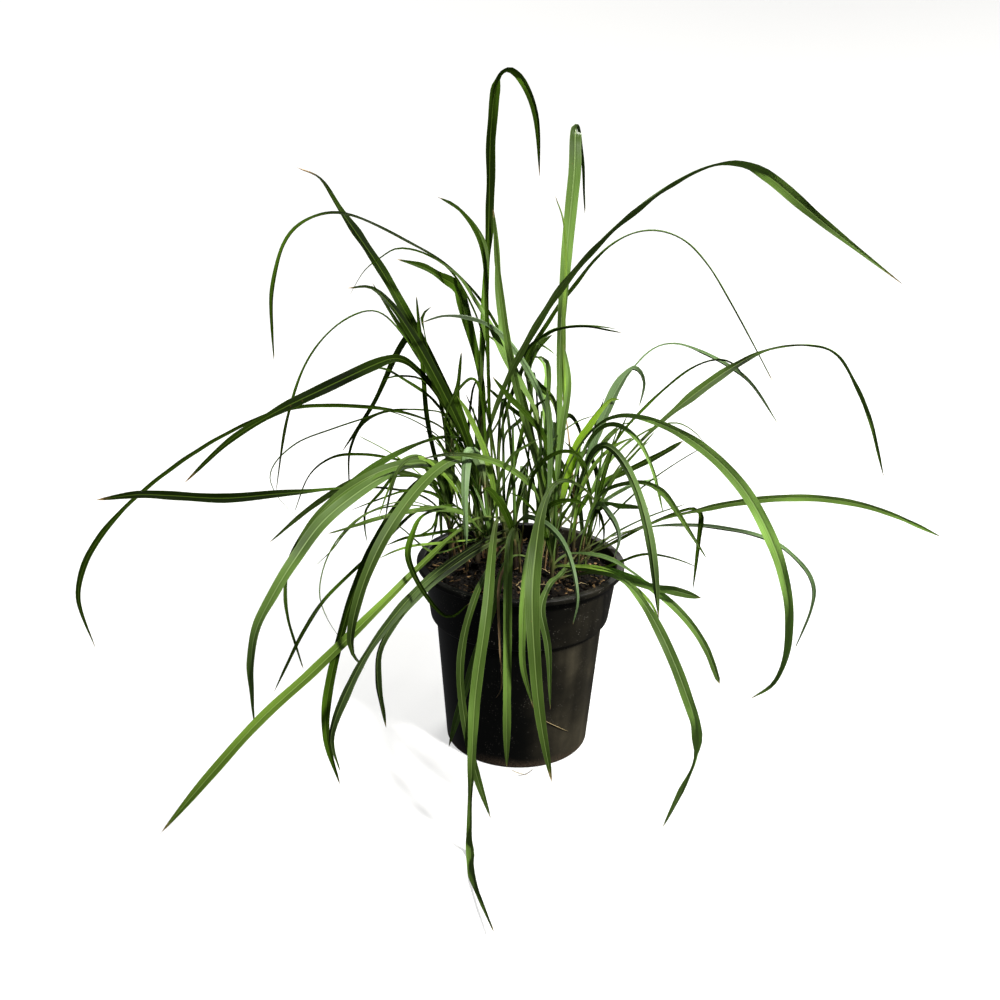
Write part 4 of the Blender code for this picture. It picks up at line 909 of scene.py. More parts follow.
@dataclass
class LeafLine:
    """A leaf's middle line.

    Attributes:
        places: Its places, foot first.
        normals: The upper face's direction at each place.
        halves: Half the leaf's width at each place.
    """

    places: np.ndarray
    normals: np.ndarray
    halves: np.ndarray

    FOLD = 0.30

    @classmethod
    def read(cls, corners: np.ndarray, rings: list[list[int]], tip: int) -> LeafLine:
        """Read a line from the cross-sections of a CAD leaf.

        Args:
            corners: The node's corners.
            rings: The corners of each cross-section, from the tip on.
            tip: The tip's corner.

        Returns:
            The line.
        """
        places = []
        normals = []
        halves = []
        for ring in reversed(rings):
            spots = corners[ring]
            gaps = np.linalg.norm(spots[:, None] - spots[None, :], axis=2)
            left, right = np.unravel_index(int(gaps.argmax()), gaps.shape)
            middle = (spots[left] + spots[right]) / 2
            others = [k for k in range(len(ring)) if k not in (left, right)]
            keel = max(others, key=lambda k: float(np.linalg.norm(spots[k] - middle)))
            half = float(gaps[left, right]) / 2
            normal = middle - spots[keel]
            normal = normal / max(1e-9, float(np.linalg.norm(normal)))
            places.append(middle - normal * half * cls.FOLD)
            normals.append(normal)
            halves.append(half)
        places.append(corners[tip])
        normals.append(normals[-1])
        halves.append(0.0)
        return cls(np.array(places), np.array(normals), np.array(halves))

    def rooted(self, roots: Sequence[np.ndarray], half: float) -> LeafLine:
        """Lengthen the line at its foot.

        Args:
            roots: Places from the new foot up to the old one.
            half: Half the width at the new foot.

        Returns:
            The longer line.
        """
        shares = np.linspace(0.0, 1.0, len(roots), endpoint=False)
        added = half + (self.halves[0] - half) * shares
        return LeafLine(
            np.vstack([roots, self.places]),
            np.vstack([np.repeat(self.normals[:1], len(roots), axis=0), self.normals]),
            np.concatenate([added, self.halves]),
        )

    def nudged(self, nudges: Sequence[Station], view: Viewpoint) -> LeafLine:
        """Move stretches of the line in the picture's plane.

        Args:
            nudges: Shares of the length with millimetres to the right and upwards.
            view: The reference view.

        Returns:
            The moved line.
        """
        if not nudges:
            return self
        right, up, _ = view.axes()
        steps = np.linalg.norm(np.diff(self.places, axis=0), axis=1)
        along = np.concatenate([[0.0], np.cumsum(steps)])
        share = along / along[-1]
        table = np.array([(0.0, 0.0, 0.0), *nudges])
        across = np.interp(share, table[:, 0], table[:, 1]) * MM
        above = np.interp(share, table[:, 0], table[:, 2]) * MM
        moved = self.places + across[:, None] * right + above[:, None] * up
        return LeafLine(moved, self.normals, self.halves)

    def flowing(self, pitch: float) -> LeafLine:
        """Run a smooth line through the places.

        Args:
            pitch: Distance between the new places, in metres.

        Returns:
            The smooth line.
        """
        rows = np.hstack([self.places, self.normals])
        rows = np.vstack([2 * rows[0] - rows[1], rows, 2 * rows[-1] - rows[-2]])
        steps = np.linalg.norm(np.diff(rows[:, :3], axis=0), axis=1)
        gaps = np.maximum(1e-5, steps) ** 0.5
        samples = []
        for i in range(1, len(rows) - 2):
            p0, p1, p2, p3 = rows[i - 1:i + 3]
            t1 = gaps[i - 1]
            t2 = t1 + gaps[i]
            t3 = t2 + gaps[i + 1]
            count = max(1, round(float(steps[i]) / pitch))
            t = np.linspace(t1, t2, count, endpoint=False)[:, None]
            a1 = (t1 - t) / t1 * p0 + t / t1 * p1
            a2 = (t2 - t) / (t2 - t1) * p1 + (t - t1) / (t2 - t1) * p2
            a3 = (t3 - t) / (t3 - t2) * p2 + (t - t2) / (t3 - t2) * p3
            b1 = (t2 - t) / t2 * a1 + t / t2 * a2
            b2 = (t3 - t) / (t3 - t1) * a2 + (t - t1) / (t3 - t1) * a3
            samples.append((t2 - t) / (t2 - t1) * b1 + (t - t1) / (t2 - t1) * b2)
        samples.append(rows[-2:-1])
        smooth = np.vstack(samples)
        known = np.concatenate([[0.0], np.cumsum(steps[1:-1])])
        along = np.concatenate(
            [[0.0], np.cumsum(np.linalg.norm(np.diff(smooth[:, :3], axis=0), axis=1))]
        )
        along *= known[-1] / along[-1]
        halves = np.interp(along, known, self.halves)
        left = np.clip((known[-1] - along) / (known[-1] - known[-2]), 0.0, 1.0)
        halves = np.where(left < 1.0, self.halves[-2] * left ** 0.72, halves)
        return LeafLine(smooth[:, :3], smooth[:, 3:6], halves)

    def axes(self) -> tuple[np.ndarray, np.ndarray]:
        """Give the side directions and the normals, square to the line.

        Returns:
            The side directions and the normals.
        """
        ahead = np.gradient(self.places, axis=0)
        ahead = ahead / np.linalg.norm(ahead, axis=1, keepdims=True)
        normals = self.normals - ahead * np.sum(self.normals * ahead, axis=1, keepdims=True)
        normals = normals / np.maximum(1e-9, np.linalg.norm(normals, axis=1, keepdims=True))
        return np.cross(ahead, normals), normals


@dataclass(frozen=True)
class Sprig:
    """A thin leaf that grows from a stem, read in the reference view.

    Attributes:
        width: Width in millimetres.
        tone: Colour family.
        near: Centimetres towards the viewer, foot first; the last holds for the rest.
        pixels: Pixels across and down in turns, foot first.
    """

    width: float
    tone: Tone
    near: tuple[float, ...]
    pixels: tuple[float, ...]

    def line(self, view: Viewpoint) -> LeafLine:
        """Lay the leaf's line as it was read.

        Args:
            view: The reference view.

        Returns:
            Its middle line.
        """
        count = len(self.pixels) // 2
        near = [*self.near, *[self.near[-1]] * (count - len(self.near))]
        stations = zip(self.pixels[::2], self.pixels[1::2], near)
        places = np.array([view.at(*station) for station in stations])
        shares = np.linspace(0.0, 1.0, count)
        halves = self.width * MM / 2 * (0.45 + 0.55 * np.sin(np.pi * shares ** 0.8)) * (1 - shares ** 4)
        look = np.array(view.eye) - places
        look = look / np.linalg.norm(look, axis=1, keepdims=True)
        return LeafLine(places, look + UP * 0.6, halves)


# Read in the photograph, a thin leaf a line, under the stem that it grows from.
SPRIGS: Mapping[str, tuple[Sprig, ...]] = {
    "tiller_left_mid": (
        Sprig(6.4, Tone.DEEP, (-2,), (476, 480, 470, 445, 463, 420, 457, 398, 459, 378, 461, 352)),
        Sprig(5.4, Tone.BRIGHT, (0, 1), (497, 520, 492, 480, 485, 452, 475, 428, 465, 408, 457, 396)),
        Sprig(3.8, Tone.DEEP, (-2,),
              (492, 480, 489, 400, 487, 320, 484, 258, 476, 232, 463, 213, 450, 202, 437, 197)),
        Sprig(3.6, Tone.BRIGHT, (3, 4, 5, 6, 6, 7),
              (468, 520, 455, 488, 437, 468, 422, 458, 409, 459, 397, 472, 386, 496, 378, 520)),
        Sprig(4.6, Tone.MID, (3, 5, 6, 7, 8),
              (480, 530, 462, 513, 432, 509, 402, 513, 372, 520, 348, 528, 326, 534)),
        Sprig(1.5, Tone.MID, (2, 5, 7, 8, 8.5, 9, 9.5, 10),
              (450, 515, 405, 501, 362, 516, 341, 535, 328, 556, 321, 578, 320, 598, 328, 620, 345, 645)),
        Sprig(1.8, Tone.MID, (3, 5, 6, 7, 8),
              (450, 512, 405, 505, 368, 513, 345, 533, 332, 550, 314, 567)),
        Sprig(2, Tone.MID, (1, 3, 3.6, 4.4, 5, 5.6),
              (462, 545, 438, 553, 428, 550, 413, 538, 400, 527, 384, 520)),
        Sprig(3.6, Tone.DEEP, (1, 3, 4.4, 5, 5.4), (478, 530, 450, 531, 425, 535, 405, 538, 385, 546)),
        Sprig(2.8, Tone.BRIGHT, (1, 3, 4.4, 5, 5.4), (470, 540, 440, 543, 412, 546, 395, 551, 378, 559)),
        Sprig(3.4, Tone.MID, (1, 2, 3, 3.6, 4), (460, 528, 446, 506, 438, 510, 436, 525, 431, 542)),
        Sprig(2.2, Tone.DEEP, (-4, -4, -5),
              (490, 380, 478, 320, 450, 270, 430, 256, 410, 249, 395, 249, 380, 258, 365, 270, 349, 296)),
    ),
    "tiller_right": (
        Sprig(5.4, Tone.DEEP, (0,), (556, 490, 545, 440, 530, 418, 512, 400, 500, 386, 492, 376)),
        Sprig(4.2, Tone.BRIGHT, (-1,), (572, 540, 578, 500, 588, 475, 603, 455, 620, 443, 634, 437)),
        Sprig(4.4, Tone.MID, (-3, -4, -5, -6), (574, 500, 586, 466, 601, 447, 615, 431, 622, 427)),
    ),
    "tiller_middle_right": (
        Sprig(5, Tone.GREY, (1,), (548, 520, 550, 470, 550, 440, 549, 415, 547, 398, 548, 389)),
        Sprig(6.4, Tone.MID, (-1,),
              (546, 520, 538, 470, 526, 425, 516, 385, 508, 345, 502, 300, 497, 262, 495, 235, 493, 208)),
        Sprig(3.8, Tone.LIGHT, (-4,),
              (545, 500, 545, 440, 548, 400, 549, 375, 547, 362, 541, 357, 531, 358)),
        Sprig(4.4, Tone.DEEP, (2, 3, 4, 5, 6, 7),
              (528, 505, 532, 478, 545, 460, 560, 452, 574, 453, 584, 463, 588, 480)),
        Sprig(2.4, Tone.LIGHT, (-5,), (520, 400, 524, 360, 533, 343, 545, 347, 557, 356)),
    ),
    "tiller_left": (
        Sprig(2.4, Tone.DEEP, (-4, -3), (450, 440, 437, 395, 421, 379, 402, 376, 388, 378, 379, 386)),
        Sprig(4.6, Tone.DEEP, (-3,),
              (450, 500, 436, 460, 427, 417, 423, 370, 420, 335, 418, 315, 416, 295)),
        Sprig(2, Tone.DEEP, (-3,), (424, 330, 422, 318, 425, 312, 432, 306)),
        Sprig(3.6, Tone.DEEP, (-3, -3, -2, -1, 0, 1),
              (445, 415, 435, 402, 425, 393, 405, 380, 385, 369, 370, 368)),
        Sprig(2, Tone.DEEP, (-6, -7, -9, -11, -12, -13),
              (445, 413, 420, 410, 390, 410, 365, 418, 335, 428, 297, 443, 275, 463, 270, 478,
               278, 497, 303, 523)),
        Sprig(3.4, Tone.DEEP, (-5, -4, -3, -2, -1, 0),
              (450, 490, 430, 468, 410, 466, 395, 475, 380, 493, 366, 510, 365, 530, 368, 545)),
        Sprig(2.8, Tone.DEEP, (-6, -7, -8, -10, -11),
              (455, 505, 430, 492, 400, 490, 360, 486, 330, 490)),
        Sprig(9, Tone.MID, (0, 2, 4, 5.5, 7, 8, 9, 9.5, 10),
              (470, 515, 452, 475, 428, 463, 400, 465, 372, 475, 345, 491, 322, 511, 306, 532,
               296, 552, 289, 574)),
        Sprig(2.4, Tone.DEEP, (2, 4, 5, 6, 7), (455, 512, 430, 493, 405, 491, 380, 499, 349, 511)),
        Sprig(3.4, Tone.DEEP, (-3, -2, -1, 0, 1, 1.6),
              (452, 520, 449, 490, 439, 472, 420, 467, 401, 470, 384, 482)),
        Sprig(3, Tone.DEEP, (-3, -3, -2, -1, 0, 0.6),
              (448, 520, 443, 492, 430, 478, 410, 476, 385, 478, 366, 484)),
        Sprig(3.6, Tone.DEEP, (-4,), (450, 515, 453, 480, 446, 455, 436, 438, 424, 430)),
    ),
    "tiller_right_back": (
        Sprig(4.6, Tone.MID, (-6,),
              (548, 470, 532, 400, 528, 370, 537, 345, 550, 332, 568, 327, 592, 326, 618, 329)),
        Sprig(3.2, Tone.GREY, (-1, -0.4, 0, 0.4), (594, 515, 604, 501, 618, 492, 636, 484)),
        Sprig(1.9, Tone.MID, (-4, -5, -6), (592, 490, 620, 450, 655, 427, 677, 423, 692, 430, 706, 444)),
    ),
    "tiller_front_right": (
        Sprig(4.4, Tone.GREY, (2, 3.4, 4.4, 5.4, 6.4),
              (576, 553, 598, 555, 613, 560, 628, 569, 652, 586)),
        Sprig(5, Tone.BRIGHT, (3, 4, 5, 6, 6.6, 7, 7.2),
              (572, 566, 592, 567, 607, 571, 624, 581, 640, 592, 652, 605, 660, 622)),
        Sprig(5.4, Tone.DEEP, (3, 4, 5, 6, 7), (549, 530, 548, 508, 562, 501, 576, 501, 588, 506)),
    ),
    "tiller_front_left": (
        Sprig(2.8, Tone.MID, (1, 4, 6, 7, 8), (478, 520, 460, 510, 440, 507, 425, 508, 412, 512)),
        Sprig(3, Tone.DEEP, (0, 3, 5, 6, 7), (478, 525, 455, 506, 440, 510, 432, 528, 413, 538)),
        Sprig(7.5, Tone.DEEP, (2, 3, 3.6, 4, 4.4), (512, 535, 509, 520, 500, 503, 489, 490, 482, 488)),
    ),
    "tiller_middle": (
        Sprig(4, Tone.DEEP, (-1, -2, -3), (512, 480, 519, 445, 527, 417, 537, 405, 548, 398)),
        Sprig(3.6, Tone.MID, (0, 1, 1.6, 2), (497, 515, 499, 480, 513, 455, 526, 446, 540, 438)),
    ),
    "tiller_right_lean": (
        Sprig(4.2, Tone.LIGHT, (-2, -3, -4, -5), (590, 495, 602, 470, 615, 455, 634, 436)),
        Sprig(3.6, Tone.MID, (-1, -2, -3, -4, -5), (588, 520, 602, 490, 620, 470, 640, 448, 656, 430)),
        Sprig(3, Tone.DEEP, (1, 3, 4, 5, 5.4, 6, 6.6, 7),
              (588, 566, 602, 568, 620, 562, 636, 556, 648, 554, 664, 556, 682, 561, 699, 568)),
    ),
}


def between(profile: Girth, share: float) -> float:
    """Read a profile at a share of a leaf's length, with smooth steps between its entries.

    Args:
        profile: Shares with their numbers.
        share: Share of the length.

    Returns:
        The number there.
    """
    for (start, first), (stop, second) in zip(profile, profile[1:]):
        if share < stop:
            t = max(0.0, (share - start) / (stop - start))
            return first + (second - first) * t * t * (3 - 2 * t)
    return profile[-1][1]


@dataclass(frozen=True)
class Habit:
    """How one leaf differs from the others.

    Attributes:
        tone: Colour family.
        girth: Shares of its length with its width there, as a share of the CAD leaf's.
        dry: How much of its tip has dried, 1 for a tenth of its length.
        painted_light_and_tone: Shares of its length with how light its colour is there, which paints
            light and shade into it.
        fuller: How much wider than the CAD leaf it is near the tip, unless its girth says so.
    """

    tone: Tone
    girth: Girth = ((0.0, 0.36), (0.16, 0.46), (0.36, 1.0))
    dry: float = 0.12
    painted_light_and_tone: Girth = ((0.0, 1.0),)
    fuller: float = 0.6

    TIP_START = 0.76
    TIP_RUN = 0.20

    def width_at(self, share: float) -> float:
        """Give the width as a share of the CAD leaf's, at a share of its length.

        Args:
            share: Share of the length.

        Returns:
            Share of the width.
        """
        last = self.girth[-1][0]
        if share < last or last == 1.0:
            return between(self.girth, share)
        t = min(1.0, max(0.0, (share - max(last, self.TIP_START)) / self.TIP_RUN))
        return self.girth[-1][1] * (1 + self.fuller * t * t * (3 - 2 * t))


@dataclass(frozen=True)
class LeafShape:
    """Turns a leaf's middle line into a fine closed solid.

    Attributes:
        pitch: Distance between cross-sections in metres.
        sheet: Thickness at the margins.
        rib: Thickness at the midrib.
        stalk: Extra thickness at the foot, where the blade rolls into a stalk.
        wave: How far the margins wave, as a share of half the width.
    """

    pitch: float = 0.0055
    sheet: float = 0.00022
    rib: float = 0.00085
    stalk: float = 0.0013
    wave: float = 0.10

    ACROSS = (-1.0, -0.78, -0.48, -0.20, -0.07, 0.0, 0.07, 0.20, 0.48, 0.78, 1.0)

    def build(self, gather: Gather, line: LeafLine, habit: Habit, seed: str) -> None:
        """Add a leaf to a piece.

        Args:
            gather: The piece.
            line: The leaf's middle line.
            habit: How it differs from other leaves.
            seed: Name that fixes its small differences.
        """
        dice = random.Random(seed)
        fine = line.flowing(self.pitch)
        sides, normals = fine.axes()
        steps = np.linalg.norm(np.diff(fine.places, axis=0), axis=1)
        along = np.concatenate([[0.0], np.cumsum(steps)])
        share = along / along[-1]
        phase = (dice.uniform(0, math.tau), dice.uniform(0, math.tau))
        length = dice.uniform(0.034, 0.052)
        top = np.array(self.ACROSS)
        low = top[1:-1][::-1]
        corners: list[np.ndarray] = []
        flat: list[tuple[float, float]] = []
        painted_light_and_tone: list[float] = []
        count = len(top) + len(low)
        for i in range(len(fine.places) - 1):
            half = float(fine.halves[i]) * habit.width_at(float(share[i]))
            root = max(0.0, 1.0 - share[i] / 0.10)
            fold = half * (0.20 + 0.34 * root)
            waves = [
                self.wave * half * math.sin(along[i] / length * math.tau + p) * (1 - root) for p in phase
            ]
            wide = half * (1 + 0.025 * math.sin(along[i] / 0.021 + phase[0]))
            for t, face in [(t, 0) for t in top] + [(t, 1) for t in low]:
                edge = abs(t)
                lift = fold * (edge ** 1.25 - 0.5) + waves[0 if t < 0 else 1] * edge ** 2.5
                lift -= 0.00016 * math.exp(-((t / 0.09) ** 2))
                if face:
                    body = self.sheet + (self.rib - self.sheet) * math.exp(-((t / 0.16) ** 2))
                    body += self.stalk * root * (1 - t * t) + 0.02 * half * (1 - t * t)
                    lift -= body * min(1.0, (1 - edge) * 8 + 0.2)
                spot = fine.places[i] + sides[i] * (wide * t) + normals[i] * lift
                # A trailing leaf lies on the surface that the pot stands on.
                spot[2] = max(spot[2], 0.0 if face else self.sheet)
                corners.append(spot)
                flat.append(((t + 1) / 2, float(share[i])))
            painted_light_and_tone.extend([between(habit.painted_light_and_tone, float(share[i]))] * count)
        corners.append(fine.places[-1])
        flat.append((0.5, 1.0))
        painted_light_and_tone.append(habit.painted_light_and_tone[-1][1])
        rings = len(fine.places) - 1
        faces = bands(0, rings, count, (3, 0, 1, 2))
        last = (rings - 1) * count
        faces += [(last + (k + 1) % count, last + k, len(corners) - 1) for k in range(count)]
        faces.append(tuple(range(count)))
        under = [float(k >= len(top) - 1) for k in range(count)] * rings + [1.0]
        gather.add(corners, faces, habit.tone, flat, dice.random(), habit.dry, under, painted_light_and_tone)


def rows(numbers: Sequence[float], *scales: float) -> tuple[tuple[float, ...], ...]:
    """Cut numbers that come in turns into rows.

    Args:
        numbers: The numbers.
        scales: What each number of a row is divided by.

    Returns:
        The rows.
    """
    turns = [[number / by for number in numbers[k::len(scales)]] for k, by in enumerate(scales)]
    return tuple(zip(*turns))


@dataclass(frozen=True)
class Trace:
    """What was read of one leaf in the reference view, as numbers that come in turns.

    Attributes:
        girth: Percent of its length with hundredths of the CAD leaf's width.
        painted_light_and_tone: Percent of its length with hundredths of its family's lightness, which
            paints the light and shade read along the leaf.
        moved: Percent of its length with tenths of a millimetre to the right and upwards.
    """

    girth: tuple[float, ...] = ()
    painted_light_and_tone: tuple[float, ...] = ()
    moved: tuple[float, ...] = ()

    def habit(self, tone: Tone, girth: Girth, dry: float = Habit.dry) -> Habit:
        """Tell how the leaf differs from the others.

        Args:
            tone: Colour family.
            girth: Its widths if none were read.
            dry: How much of its tip has dried.

        Returns:
            Its habit.
        """
        painted_light_and_tone = rows(self.painted_light_and_tone, 100, 100) or Habit.painted_light_and_tone
        return Habit(tone, rows(self.girth, 100, 100) or girth, dry, painted_light_and_tone)

    def nudges(self) -> tuple[Station, ...]:
        """Give shares of the length with millimetres to the right and upwards."""
        return rows(self.moved, 100, 10, 10)


THIN_GIRTH: Girth = ((0.0, 0.8), (0.2, 1.0))
PLAIN = Trace()
